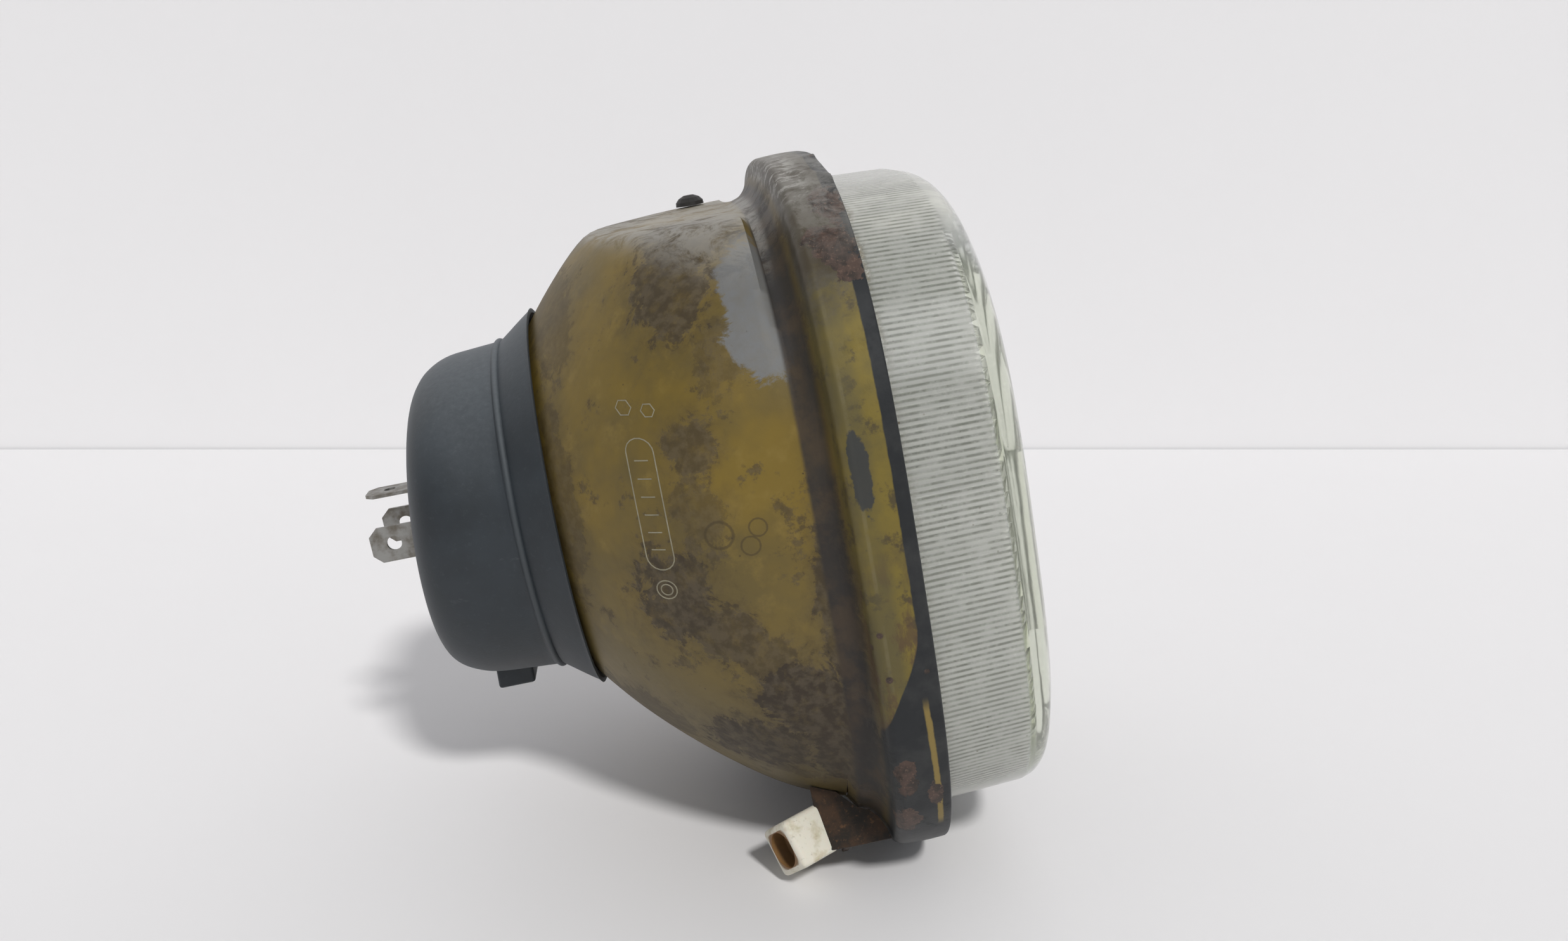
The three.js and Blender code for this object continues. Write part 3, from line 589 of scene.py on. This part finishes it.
def nylon():
    """Off-white nylon, browned in the bore and in small spots."""
    s = Shader("stained_white_nylon")
    s.coords()
    middle = s.noise(5, 5, 0.65, 2.0)
    fine = s.noise(0.8, 4, 0.65, 12.0)
    stained = s.step(s.plus(s.attribute("bore"), s.scaled(middle, 0.9, -0.45)), 0.25, 0.75)
    colour = s.mix(s.step(middle, 0.5, 0.72), linear(214, 210, 196), linear(186, 178, 152))
    colour = s.mix(stained, colour, linear(122, 92, 58))
    colour = s.mix(s.times(s.step(fine, 0.6, 0.72), 0.4), colour, linear(120, 104, 80))
    return s.out(
        base_color=colour,
        roughness=0.5,
        subsurface_weight=0.15,
        subsurface_scale=0.002,
        normal=s.bump(fine, 0.05, 0.5),
    )


def plain(name, colour, roughness, size, depth):
    """One colour, varied a little over the surface."""
    s = Shader(name)
    s.coords()
    mottle = s.noise(size, 4, 0.6, 4.0)
    shade = s.mix(s.step(mottle, 0.3, 0.7), colour, tuple(c * 0.72 for c in colour))
    return s.out(base_color=shade, roughness=roughness, normal=s.bump(mottle, depth, 0.5))


def clear_glass():
    s = Shader("clear_bulb_glass")
    return s.out(base_color=(0.97, 0.98, 0.98), roughness=0.02, transmission_weight=1.0, ior=1.47)


MATERIALS = {
    "lacquer": lacquer(),
    "mirror": mirror_coat(),
    "lens": lens_glass(),
    "rubber": rubber(),
    "zinc": dull_metal("dull_zinc_plate", linear(176, 175, 168), linear(132, 128, 116)),
    "tin": dull_metal("dull_tinned_brass", linear(158, 157, 153), linear(118, 112, 102), 0.32, 0.5),
    "tungsten": dull_metal("grey_tungsten", linear(120, 121, 124), linear(84, 84, 88)),
    "rust": rusty_steel(),
    "nylon": nylon(),
    "sealant": plain("black_sealant", linear(40, 40, 38), 0.7, 2.0, 0.2),
    "plastic": plain("black_moulded_plastic", linear(44, 42, 40), 0.55, 3.0, 0.05),
    "mark": plain("worn_mark", linear(142, 136, 114), 0.5, 2.0, 0.02),
    "clear": clear_glass(),
}


# ---- reflector ----

COVE = [(-16.8, 8.5), (-14.6, 7.7), (-12.9, 6), (-11.7, 3.6), (-11, 1.3), (-9.8, 0.2), (-8.4, 0)]
SHELL_POINTS = 384


def dents(u, angle, size):
    """How far the pressed sheet stands off its drawn shape, in millimetres."""
    y, v = math.cos(angle) * size, math.sin(angle) * size
    return 0.22 * noise_at(u / 26, y / 26, v / 26, 3.0) + 0.06 * noise_at(u / 9, y / 9, v / 9, 8.0)


def crease(u, angle):
    """The knocked top corner of the rim: two folds and a flattened patch."""
    reach = max(0.0, min(1.0, (u + 10.4) / 3))
    away = math.degrees(angle) - 118
    fold = 0.7 * math.exp(-((away - 0.9 * (u + 6)) / 1.6) ** 2)
    second = 0.4 * math.exp(-((away + 9 + 0.5 * (u + 6)) / 1.4) ** 2)
    flat = 0.7 * math.exp(-((away + 4) / 7) ** 2)
    return reach * (fold + second - flat)


def skin_radius(angles, u):
    """The reflector's outer radius, round where its neck starts."""
    return np.full_like(angles, bowl_radius(u)) if u < NECK_U + 0.5 else body_radius(angles, u)


def shell_rings(angles):
    stations = np.arange(NECK_U, -18.4, 1.65)
    outer = []
    for u in stations:
        fade = max(0.0, min(1.0, (u + 66) / 6))
        r = [b + fade * dents(u, t, b) for b, t in zip(skin_radius(angles, u), angles)]
        outer.append(ring_at(u, r, angles))
    for u, inset in smooth_path(COVE, 4):
        outer.append(ring_at(u, outline_radius(angles, inset), angles))
    for u in (-7.4, -6.2, -5, -3.8, -2.6, -1.6, -0.8, -0.35):
        bulge = 0.18 * math.sin(math.pi * (u + 8.4) / 8.4)
        outer.append(ring_at(u, outline_radius(angles, -bulge), angles))
    outer.append(ring_at(-0.1, outline_radius(angles, 0.1), angles))
    outer.append(ring_at(0, outline_radius(angles, 0.35), angles))
    return stations, outer


def reflector():
    angles = even_angles(SHELL_POINTS)
    stations, rings = shell_rings(angles)
    for ring in rings:
        for k, point in enumerate(ring):
            if point.x > -13.5:
                push = crease(point.x, angles[k])
                direction = Vector((0, point.y, point.z - AXIS_V)).normalized()
                point += direction * min(push, 1.2)
    outer_count = len(rings)
    rings.append(ring_at(-0.1, outline_radius(angles, SHEET - 0.1), angles))
    for u, inset in reversed(smooth_path(COVE, 3)):
        u += SHEET * (0.35 + 0.65 * min(1, inset / 6))
        rings.append(ring_at(u, outline_radius(angles, inset + SHEET), angles))
    for u in reversed(stations[:-1:2]):
        rings.append(ring_at(u + SHEET, skin_radius(angles, u) - SHEET, angles))
    bm = bmesh.new()
    mirror_from = outer_count + 9
    loft(bm, rings, wrap=True, material_of=lambda i: int(mirror_from <= i < len(rings) - 1))
    materials = [MATERIALS["lacquer"], MATERIALS["mirror"]]
    finish_mesh(bm, "reflector_body", "lamp", materials, 50, ["reflector_shell"])


# ---- the mark on the near side: a plain frame, bars, hexagons and a ring, with no lettering ----

MARK_U, MARK_HALF = -46.5, 2.6
MARK_LINE = 0.17


def near_side(u, v):
    """The point of the reflector's near side at u and v, and the way out of the surface there."""

    def place(u, v):
        radius = 60.0
        for _ in range(12):
            angle = math.pi - math.asin((v - AXIS_V) / radius)
            radius = float(body_radius(np.array([angle]), u)[0])
        radius += dents(u, angle, radius)
        return Vector((u, radius * math.cos(angle), AXIS_V + radius * math.sin(angle)))

    here = place(u, v)
    out = (place(u + 0.5, v) - here).cross(place(u, v + 0.5) - here).normalized()
    return here, out if out.y < 0 else -out


def raised_line(bm, points, closed):
    """A low ridge along (u, v) points on the near side."""
    spots = [near_side(u, v) for u, v in points]
    count = len(spots)
    rings = []
    for k, (here, out) in enumerate(spots):
        after = spots[(k + 1) % count][0] if closed or k < count - 1 else here
        before = spots[k - 1][0] if closed or k else here
        across = (after - before).cross(out).normalized() * MARK_LINE
        section = ((-1, -0.12), (-0.6, 0.07), (0.6, 0.07), (1, -0.12))
        rings.append([bm.verts.new(here + across * x + out * h) for x, h in section])
    pairs = list(zip(rings, rings[1:]))
    if closed:
        pairs.append((rings[-1], rings[0]))
    else:
        bm.faces.new(rings[0])
        bm.faces.new(rings[-1])
    for a, b in pairs:
        for k in range(4):
            bm.faces.new((a[k], a[(k + 1) % 4], b[(k + 1) % 4], b[k]))


def polygon(u, v, radius, sides):
    return [(u + radius * math.cos(t), v + radius * math.sin(t)) for t in even_angles(sides)]


def mark():
    bm = bmesh.new()
    low, high = 8.5, 28.5

    def rounded_end(v, way):
        bend = np.linspace(0.3, 2.84, 8) * way
        return [(MARK_U - way * MARK_HALF * math.cos(t), v + MARK_HALF * math.sin(t)) for t in bend]

    rising = [(MARK_U - MARK_HALF, v) for v in np.linspace(low, high, 14)]
    falling = [(MARK_U + MARK_HALF, v) for v in np.linspace(high, low, 14)]
    raised_line(bm, [*rising, *rounded_end(high, 1), *falling, *rounded_end(low, -1)], True)
    for k in range(6):
        v = low + 1.5 + k * 3.4
        raised_line(bm, [(MARK_U - 1.3, v), (MARK_U, v), (MARK_U + 1.3, v)], False)
    for u, v, radius, sides in (
        (MARK_U - 1.5, 36.6, 1.5, 6),
        (MARK_U + 3, 36, 1.3, 6),
        (MARK_U, 1.8, 1.9, 20),
        (MARK_U, 1.8, 1.1, 20),
    ):
        raised_line(bm, polygon(u, v, radius, sides), True)
    finish_mesh(bm, "plain_mark", "lamp", [MATERIALS["mark"]], 30)


# ---- lens ----


def face_reach(angle):
    """Distance from the lens's middle to the border of its face, at an angle about that middle."""
    a, b = RIM_HALF_WIDTH - FACE_INSET, RIM_HALF_HEIGHT - FACE_INSET
    y, v = abs(math.cos(angle)) / a, abs(math.sin(angle)) / b
    return (y**OUTLINE_POWER + v**OUTLINE_POWER) ** (-1 / OUTLINE_POWER)


def face_optics(y, v):
    """Depth of the face's optics: upright flutes in blocks, wide or narrow, stepped at the rows."""
    row = 0 if v < -21 else 1 if v < 15 else 2
    column = math.floor((abs(y) + 9) / 18)
    pitch = ((3, 4.5, 3, 6), (6, 3, 4.5, 3), (4.5, 6, 3, 4.5))[row][min(column, 3)]
    phase = y / pitch - math.floor(y / pitch)
    wave = 1 - (2 * phase - 1) ** 2
    low = (-66, -21, 15)[row]
    wedge = 0.5 * (v - low) / 45 if row != 1 else 0.12
    return 0.16 * pitch * wave + wedge


def about_middle(vert):
    """The vertex's angle about the lens's middle, from 0 to a full turn."""
    return math.atan2(vert.co.z, vert.co.y) % (2 * math.pi)


def lens_face(bm, back_u, dome):
    """The face's inside: a grid of columns clipped to the outline. Returns its border as a ring."""
    half = RIM_HALF_WIDTH - FACE_INSET
    tall = RIM_HALF_HEIGHT - FACE_INSET
    columns = np.arange(-math.floor(half / 0.75) * 0.75, half, 0.75)
    block_edges = (-21, 15)
    levels = sorted([*np.arange(-72, 73.5, 3), *block_edges, *(b - 0.25 for b in block_edges)])
    made = {}

    def corner(y, v):
        limit = tall * (1 - (abs(y) / half) ** OUTLINE_POWER) ** (1 / OUTLINE_POWER)
        v = float(np.clip(v, -limit, limit))
        key = (round(y, 3), round(v, 3))
        if key not in made:
            away = math.hypot(y, v)
            reach = away / face_reach(math.atan2(v, y))
            fade = min(1.0, (1 - min(reach, 1)) / 0.035)
            made[key] = bm.verts.new((back_u + dome(min(reach, 1)) - fade * face_optics(y, v), y, v))
        return made[key]

    for left, right in zip(columns, columns[1:]):
        for low, high in zip(levels, levels[1:]):
            ring = [corner(left, low), corner(right, low), corner(right, high), corner(left, high)]
            ring = [v for k, v in enumerate(ring) if v not in ring[:k]]
            if len(ring) > 2:
                bm.faces.new(ring)
    border = {v for e in bm.edges if e.is_boundary for v in e.verts} & set(made.values())
    return sorted(border, key=about_middle)


def zipper(bm, a, b):
    """Faces between two rings with any counts, both sorted by their angle about the middle."""
    turn = 2 * math.pi
    start = about_middle(a[0])
    first = min(range(len(b)), key=lambda k: abs((about_middle(b[k]) - start + math.pi) % turn - math.pi))
    b = b[first:] + b[:first]
    at_a = [(about_middle(v) - start) % turn for v in a] + [turn]
    at_b = [(about_middle(v) - start + 0.5) % turn - 0.5 for v in b]
    at_b.append(at_b[0] + turn)
    i = j = 0
    while i < len(a) or j < len(b):
        if j == len(b) or (i < len(a) and at_a[i + 1] <= at_b[j + 1]):
            bm.faces.new((a[i], a[(i + 1) % len(a)], b[j % len(b)]))
            i += 1
        else:
            bm.faces.new((a[i % len(a)], b[(j + 1) % len(b)], b[j]))
            j += 1


def lens():
    bm = bmesh.new()
    # These mark where the lens's material paints shade along the flutes and glints on their crests.
    groove_shade = bm.verts.layers.float.new("flute_groove_shade")
    tip = bm.verts.layers.float.new("flute_tip")
    line = bm.verts.layers.float.new("flute_line_shade")
    inner_angles = even_outline(FLUTES * 4, 9)
    outer_angles = inner_angles[::2]
    profile = smooth_path([(-5.5, 2.5), (-3.5, 6), (0, 6.5)], 4)
    profile += [(6, 6.8), (12, 7.1)]
    profile += smooth_path([(18.6, 7.4), (21.2, 8.3), (23.2, 10.2), (LENS_EDGE_U, 13.4)], 4)

    def ripple(u, t):
        """Slight waves of pressed glass."""
        return 0.05 * noise_at(u / 7, 12 * math.cos(t), 12 * math.sin(t), 1.0)

    outer = [ring_at(LENS_REAR_U, outline_radius(outer_angles, 2.5), outer_angles)]
    for u, inset in profile:
        r = outline_radius(outer_angles, inset) + np.array([ripple(u, t) for t in outer_angles])
        outer.append(ring_at(u, r, outer_angles))
    edge = outer[-1][::4]

    def dome(share):
        return LENS_DOME * (1 - share * share)

    rows = loft(bm, outer)
    for row in rows[1:]:
        for vert in row[::2]:
            vert[line] = 1
    ring = rows[-1]
    for share in (0.94, 0.88, 0.8, 0.7, 0.6, 0.5, 0.4, 0.3, 0.2, 0.1):
        scaled = [bm.verts.new((LENS_EDGE_U + dome(share), p.y * share, p.z * share)) for p in edge]
        stitch(bm, ring, scaled)
        ring = scaled
    stitch(bm, ring, [bm.verts.new((LENS_EDGE_U + LENS_DOME, 0, 0))])

    # Inside: a fluted wall, a plain band beyond its scalloped end, then the face's optics.
    flute = np.abs(np.sin(math.pi * np.arange(FLUTES * 4) / 4))
    scallop = FLUTE_END_U - 1.1 * (1 - flute)
    plain_insets = ((LENS_REAR_U, 8.2), (-4.5, 9.4), (-2.6, 10.2))
    fluted_insets = ((-1.8, 10.6), (1.4, 11.3), (4.4, 11.5), (10, 11.7), (13.6, 11.85), (15.8, 11.95))
    inner = [ring_at(u, outline_radius(inner_angles, inset), inner_angles) for u, inset in plain_insets]
    for u, inset in fluted_insets:
        inner.append(ring_at(u, outline_radius(inner_angles, inset) - FLUTE_DEPTH * flute, inner_angles))
    for inset, depth, lag in ((12.0, FLUTE_DEPTH, 0.6), (12.05, 0.0, 0.0), (13.0, 0.0, -0.7)):
        ring = ring_at(0, outline_radius(inner_angles, inset) - depth * flute, inner_angles)
        for point, u in zip(ring, scallop - lag):
            point.x = u
        inner.append(ring)
    back_u = LENS_EDGE_U - LENS_GLASS
    border = lens_face(bm, back_u, dome)
    rows_in = loft(bm, inner)
    for row in rows_in[3:-2]:
        for vert in row[::4]:
            vert[groove_shade] = 1
    for row in (rows_in[4], *rows_in[7:9]):
        for vert in row[2::4]:
            vert[tip] = 1
    zipper(bm, sorted(rows_in[-1], key=about_middle), border)
    stitch(bm, rows[0], rows_in[0])
    finish_mesh(bm, "fluted_lens", "lamp", [MATERIALS["lens"]], 32, ["lens"])


# ---- boot ----


def tilt_end(bm):
    """Leans the boot's closed end back at the bottom."""
    for vert in bm.verts:
        share = min(1, max(0, (-76 - vert.co.x) / 20))
        vert.co.x += BOOT_TILT * share * (vert.co.z - AXIS_V)


def boot():
    bm = bmesh.new()
    end, cup = BOOT_END_U, BOOT_CUP
    outer = smooth_path(
        [
            (end, 19), (end + 0.05, 21), (end + 0.4, 25.5),
            (end + 1.5, 29.6), (end + 3.6, 32.8), (end + 6.8, 35),
            (end + 11, cup - 1), (-81.5, cup - 0.4), (-75.9, cup),
        ],
        4,
    )
    ridge = ((-75.7, 0.1), (-75.35, 0.55), (-74.9, 0.75), (-74.4, 0.6), (-74.1, 0.3))
    outer += smooth_path([(u, cup + rise) for u, rise in ridge], 3)
    flare = [(-72, cup + 1.85), (-70, cup + 3.35), (-68, cup + 4.8)]
    outer += smooth_path([*flare, (-67, BOOT_SKIRT - 0.7), (-66.5, BOOT_SKIRT - 0.1)], 3)
    outer.append((-66.35, BOOT_SKIRT - 0.3))
    inner = [
        (-66.3, BOOT_SKIRT - 1.1),
        (-67.6, BOOT_SKIRT - 2.4), (-74.4, cup - BOOT_WALL + 0.4), (-81.5, cup - 0.6 - BOOT_WALL),
        (end + 11, cup - 1.4 - BOOT_WALL), (end + 7.6, 32.4), (end + 5.2, 30.4),
        (end + 3.5, 27.6), (end + 2.6, 24), (end + 2.4, 20),
        (end + 2.4, 0),
    ]
    # Rings pressed into the closed end.
    pressed = ((0, 0), (0, 15.2), (0.1, 15.6), (0.45, 16), (0.45, 17), (0.1, 17.4), (0, 17.8))
    profile = [(end + depth, r) for depth, r in pressed] + [tuple(p) for p in outer] + inner
    revolve(bm, profile, BOOT_POINTS)
    shell = scratch_object(bm, "boot_shell")
    pads, slots = [], []
    half = BLADE_SPACING / 2
    for y in (-half, half):
        pads.append(((end - 1.4, end + 1), (y - 2.6, y + 2.6), (BLADE_V - 6.2, BLADE_V + 6.2)))
        slots.append(((end - 6, end + 8), (y - 0.7, y + 0.7), (BLADE_V - 4.3, BLADE_V + 4.3)))
    pads.append(((end - 1.4, end + 1), (-6.2, 6.2), (TOP_BLADE_V - 2.4, TOP_BLADE_V + 2.4)))
    slots.append(((end - 6, end + 8), (-4.3, 4.3), (TOP_BLADE_V - 0.7, TOP_BLADE_V + 0.7)))
    nozzle = ((end + 9.2, end + 16.7), (-5, 5), (AXIS_V - 41.4, AXIS_V - 35.4))
    vent = ((end + 11.2, end + 14.7), (-3, 3), (AXIS_V - 45, AXIS_V - 32))
    for k, box in enumerate(pads + [nozzle]):
        boolean(shell, rounded_box(f"boot_pad_{k}", box, 0.7), "UNION")
    for k, box in enumerate(slots + [vent]):
        boolean(shell, rounded_box(f"boot_slot_{k}", box, 0.0), "DIFFERENCE")
    bm = taken(shell)
    tilt_end(bm)
    layer = bm.verts.layers.float.new("edge_wear")
    for vert in bm.verts:
        ridge = math.exp(-(((vert.co.x + 74.9) / 0.8) ** 2))
        lip = math.exp(-(((vert.co.x + 66.6) / 0.7) ** 2))
        vert[layer] = max(0.7 * ridge, 0.4 * lip)
    finish_mesh(bm, "rubber_boot", "rear_boot", [MATERIALS["rubber"]], 38, ["boot"])


def scratch_object(bm, name):
    """A scene object in the lamp frame, to cut or join."""
    bmesh.ops.recalc_face_normals(bm, faces=bm.faces)
    mesh = bpy.data.meshes.new(name)
    bm.to_mesh(mesh)
    bm.free()
    made = bpy.data.objects.new(name, mesh)
    scene.collection.objects.link(made)
    return made


def taken(made):
    """The scratch object's shape; the object itself is dropped."""
    bm = bmesh.new()
    bm.from_mesh(made.data)
    bpy.data.objects.remove(made)
    return bm


def rounded_box(name, sides, bevel):
    bm = bmesh.new()
    bmesh.ops.create_cube(bm, size=1)
    for vert in bm.verts:
        for axis, (low, high) in enumerate(sides):
            vert.co[axis] = low if vert.co[axis] < 0 else high
    if bevel:
        settings = {"offset_type": "OFFSET", "segments": 3, "profile": 0.5, "affect": "EDGES"}
        bmesh.ops.bevel(bm, geom=list(bm.edges), offset=bevel, **settings)
    return scratch_object(bm, name)


def boolean(target, tool, operation):
    """Applies one boolean to target's mesh and drops the tool."""
    modifier = target.modifiers.new("cut", "BOOLEAN")
    modifier.operation = operation
    modifier.object = tool
    modifier.solver = "EXACT"
    depsgraph = bpy.context.evaluated_depsgraph_get()
    mesh = bpy.data.meshes.new_from_object(target.evaluated_get(depsgraph))
    target.modifiers.clear()
    target.data = mesh
    bpy.data.objects.remove(tool)


# ---- nuts and brackets ----


def to_corner(hand, swivel=0):
    """From a shape about the u axis to the nut's place on one side, turned to face the corner."""
    turn = Matrix.Rotation(math.radians(-NUT_TURN - 90) * hand, 4, "X")
    lean = Matrix.Rotation(math.radians(-swivel) * hand, 4, "Z")
    about = Matrix.Translation((PLATE_U, 0, 0)) @ lean @ Matrix.Translation((-PLATE_U, 0, 0))
    return Matrix.Translation((0, hand * NUT_Y, NUT_V)) @ about @ turn


def nut(hand, side):
    rear = PLATE_U - PLATE / 2 - 5.2
    wide, narrow = (-NUT_HALF, NUT_HALF), (-2.9, 2.9)
    block = rounded_box("nut_block", ((NUT_BACK_U, rear), wide, wide), 1.1)
    neck = rounded_box("nut_neck", ((rear - 1, -19.2), narrow, narrow), 0.4)
    boolean(block, neck, "UNION")
    boolean(block, threaded_core(), "DIFFERENCE")
    place = to_corner(hand, NUT_SWIVEL)
    block.data.transform(place @ Matrix.Diagonal((1, hand, 1, 1)))
    if hand < 0:
        block.data.flip_normals()
    boolean(block, shell_keep_out(), "DIFFERENCE")
    boolean(block, foot(hand), "UNION")
    bm = taken(block)
    keep_largest(bm)
    layer = bm.verts.layers.float.new("bore")
    for vert in bm.verts:
        own = place.inverted() @ vert.co
        away = math.hypot(own.y, own.z)
        vert[layer] = max(0.0, min(1.0, (4.5 - away) / 0.6))
    name = f"nylon_nut_{side}"
    finish_mesh(bm, name, "lamp", [MATERIALS["nylon"]], 40, [f"nut_{side}"])


MOUTH_DEPTH, PITCH = 3.4, 1.25


def threaded_core():
    """The bore's thread, as a round bar with ridges along it, and its wide mouth."""
    bm = bmesh.new()
    angles = even_angles(28)
    rings = []
    u = NUT_BACK_U - 1
    while u < -17.4:
        r = 3.9 if u < NUT_BACK_U + MOUTH_DEPTH else 2.64 + 0.14 * math.cos(2 * math.pi * u / PITCH)
        rings.append([Vector((u, r * math.cos(t), r * math.sin(t))) for t in angles])
        u += PITCH / 4
    rings = [[Vector((rings[0][0].x, 0, 0))], *rings, [Vector((rings[-1][0].x, 0, 0))]]
    loft(bm, rings)
    return scratch_object(bm, "thread_core")


def shell_keep_out():
    """The reflector's outside, grown a little, as a solid to cut round."""
    angles = even_angles(96)
    grow = 0.35
    rings = [[Vector((-60.5, 0, AXIS_V))]]
    for u in np.arange(-60, -18, 3.0):
        rings.append(ring_at(u, body_radius(angles, u) + grow, angles))
    for u, inset in COVE:
        rings.append(ring_at(u - grow, outline_radius(angles, inset - grow), angles))
    rings.append(ring_at(0, outline_radius(angles, -grow), angles))
    rings.append([Vector((0, 0, AXIS_V))])
    bm = bmesh.new()
    loft(bm, rings)
    return scratch_object(bm, "keep_out")


def foot(hand):
    """The nut's foot that the lamp rests on."""
    lean = math.atan2(ALONG.z, ALONG.x)
    low = 0.2 - RIM_HALF_HEIGHT + (-9.8 - FOOT_U) * math.tan(lean)
    outline = [(39.6, -65), (41.2, low + 0.5), (42, low), (44.4, low), (45.6, low + 0.8), (48.4, -65)]
    bm = bmesh.new()
    rear = [bm.verts.new((FOOT_U, hand * y, v)) for y, v in outline]
    front = [bm.verts.new((FOOT_U + 4.6, hand * y, v)) for y, v in outline]
    bm.faces.new(rear)
    bm.faces.new(front)
    for i in range(len(outline)):
        j = (i + 1) % len(outline)
        bm.faces.new((rear[i], rear[j], front[j], front[i]))
    return scratch_object(bm, "nut_foot")


def keep_largest(bm):
    """Drops slivers that a cut leaves beside the main body."""
    groups, seen = [], set()
    for start in bm.verts:
        if start in seen:
            continue
        group, queue = [], [start]
        seen.add(start)
        while queue:
            vert = queue.pop()
            group.append(vert)
            for edge in vert.link_edges:
                other = edge.other_vert(vert)
                if other not in seen:
                    seen.add(other)
                    queue.append(other)
        groups.append(group)
    groups.sort(key=len)
    for group in groups[:-1]:
        bmesh.ops.delete(bm, geom=group, context="VERTS")


def bracket(hand, side):
    back = PLATE_U - PLATE / 2
    plate = rounded_box("bracket_plate", ((back, back + PLATE), (-8, 8), (-8, 6.6)), 0.25)
    web = rounded_box("bracket_web", ((back + 0.01, -8.6), (-8, -6.5), (-8, 6.6)), 0.25)
    window = rounded_box("bracket_window", ((back - 1, back + PLATE + 1), (-4.8, 4.8), (-4.8, 4.8)), 0.0)
    lip = rounded_box("bracket_lip", ((back - 4.6, back + PLATE - 0.02), (-8, -6.5), (-7.9, 6.5)), 0.25)
    boolean(plate, web, "UNION")
    boolean(plate, lip, "UNION")
    boolean(plate, window, "DIFFERENCE")
    plate.data.transform(to_corner(hand) @ Matrix.Diagonal((1, hand, 1, 1)))
    if hand < 0:
        plate.data.flip_normals()
    boolean(plate, shell_keep_out(), "DIFFERENCE")
    bm = taken(plate)
    keep_largest(bm)
    name = f"rusty_bracket_{side}"
    finish_mesh(bm, name, "lamp", [MATERIALS["rust"]], 30, [f"bracket_{side}"])


# ---- CAD nodes that keep their shape ----


def dress_nodes():
    looks = {
        "sealant": ("rim_sealant",),
        "zinc": ("bulb_collar", "retaining_clip", "bulb_base", "bulb_flange"),
        "plastic": ("bulb_insulator", "top_plug"),
        "tin": ("terminal_near", "terminal_far", "terminal_top"),
        "clear": ("bulb_envelope", "bulb_stem"),
        "tungsten": ("main_filament", "dip_filament", "main_lead", "common_lead", "dip_lead", "dip_shield"),
    }
    for look, nodes in looks.items():
        for node in nodes:
            mesh = frame["nodes"][node].data
            mesh.materials.clear()
            mesh.materials.append(MATERIALS[look])
            mesh.shade_smooth()
            mesh.set_sharp_from_angle(angle=math.radians(40))


# ---- room, light and camera ----

CAMERA_PLACE = Vector((-0.0118, -0.3173, 0.1547))
CAMERA_TURN = math.radians(5.98)
CAMERA_PITCH = math.radians(13.59)
WALL_AWAY, WALL_GAP, STAGE_REACH = 0.686, 0.0012, 3.0


def stage():
    heading = Vector((math.sin(CAMERA_TURN), math.cos(CAMERA_TURN), 0))
    side = Vector((heading.y, -heading.x, 0))
    foot_of_wall = Vector((CAMERA_PLACE.x, CAMERA_PLACE.y, 0)) + heading * WALL_AWAY

    def sheet(name, corners, material):
        mesh = bpy.data.meshes.new(name)
        mesh.from_pydata([tuple(c) for c in corners], [], [(0, 1, 2, 3)])
        mesh.materials.append(material)
        made = bpy.data.objects.new(name, mesh)
        scene.collection.objects.link(made)

    ends = (-side * STAGE_REACH, side * STAGE_REACH)
    floor = [foot_of_wall - heading * WALL_GAP + end for end in ends]
    floor += [corner - heading * STAGE_REACH for corner in reversed(floor)]
    sheet("floor", floor, stage_paint("table_white", linear(234, 233, 234), 0.5))
    wall = [foot_of_wall + end - Vector((0, 0, 0.02)) for end in ends]
    wall += [corner + Vector((0, 0, 2.2)) for corner in reversed(wall)]
    sheet("wall", wall, stage_paint("wall_white", linear(228, 227, 228), 0.6))


def stage_paint(name, colour, roughness):
    s = Shader(name)
    s.coords()
    faint = s.noise(60, 4, 0.5, 1.0)
    grain = s.noise(0.8, 3, 0.6, 2.0)
    shade = s.mix(s.times(faint, 0.5), colour, tuple(c * 0.97 for c in colour))
    normal = s.bump(grain, 0.03, 0.3)
    return s.out(base_color=shade, roughness=roughness, normal=normal, specular_ior_level=0.3)


def lights():
    world = bpy.data.worlds.new("soft_room")
    scene.world = world
    world.use_nodes = True
    background = world.node_tree.nodes["Background"]
    background.inputs["Color"].default_value = (0.93, 0.96, 1.0, 1.0)
    background.inputs["Strength"].default_value = 0.38
    towards = Vector((0.28, -1.04, 1.0)).normalized()
    turn = towards.to_track_quat("Z", "Y").to_euler()
    # The daylight that casts the shadows, and the window that shows in glossy surfaces.
    sun = bpy.data.lights.new("daylight", "SUN")
    sun.angle = math.radians(7)
    sun.energy = 2.25
    sun.color = (1.0, 0.985, 0.965)
    window = bpy.data.lights.new("window", "AREA")
    window.shape = "RECTANGLE"
    window.size, window.size_y = 1.9, 1.1
    window.energy = 11
    for data, distance in ((sun, 2.0), (window, 1.8)):
        lamp = bpy.data.objects.new(data.name, data)
        lamp.location = towards * distance
        lamp.rotation_euler = turn
        lamp.visible_glossy = data is window
        lamp.visible_diffuse = data is sun
        lamp.visible_transmission = False
        scene.collection.objects.link(lamp)


def camera():
    data = bpy.data.cameras.new("camera")
    data.sensor_width = 36
    data.lens = 32.3
    data.clip_start = 0.01
    made = bpy.data.objects.new("camera", data)
    made.location = CAMERA_PLACE
    made.rotation_euler = (math.pi / 2 - CAMERA_PITCH, 0, -CAMERA_TURN)
    scene.collection.objects.link(made)
    scene.camera = made


reflector()
mark()
lens()
boot()
for hand, side in ((-1, "near"), (1, "far")):
    bracket(hand, side)
    nut(hand, side)
dress_nodes()
stage()
lights()
camera()
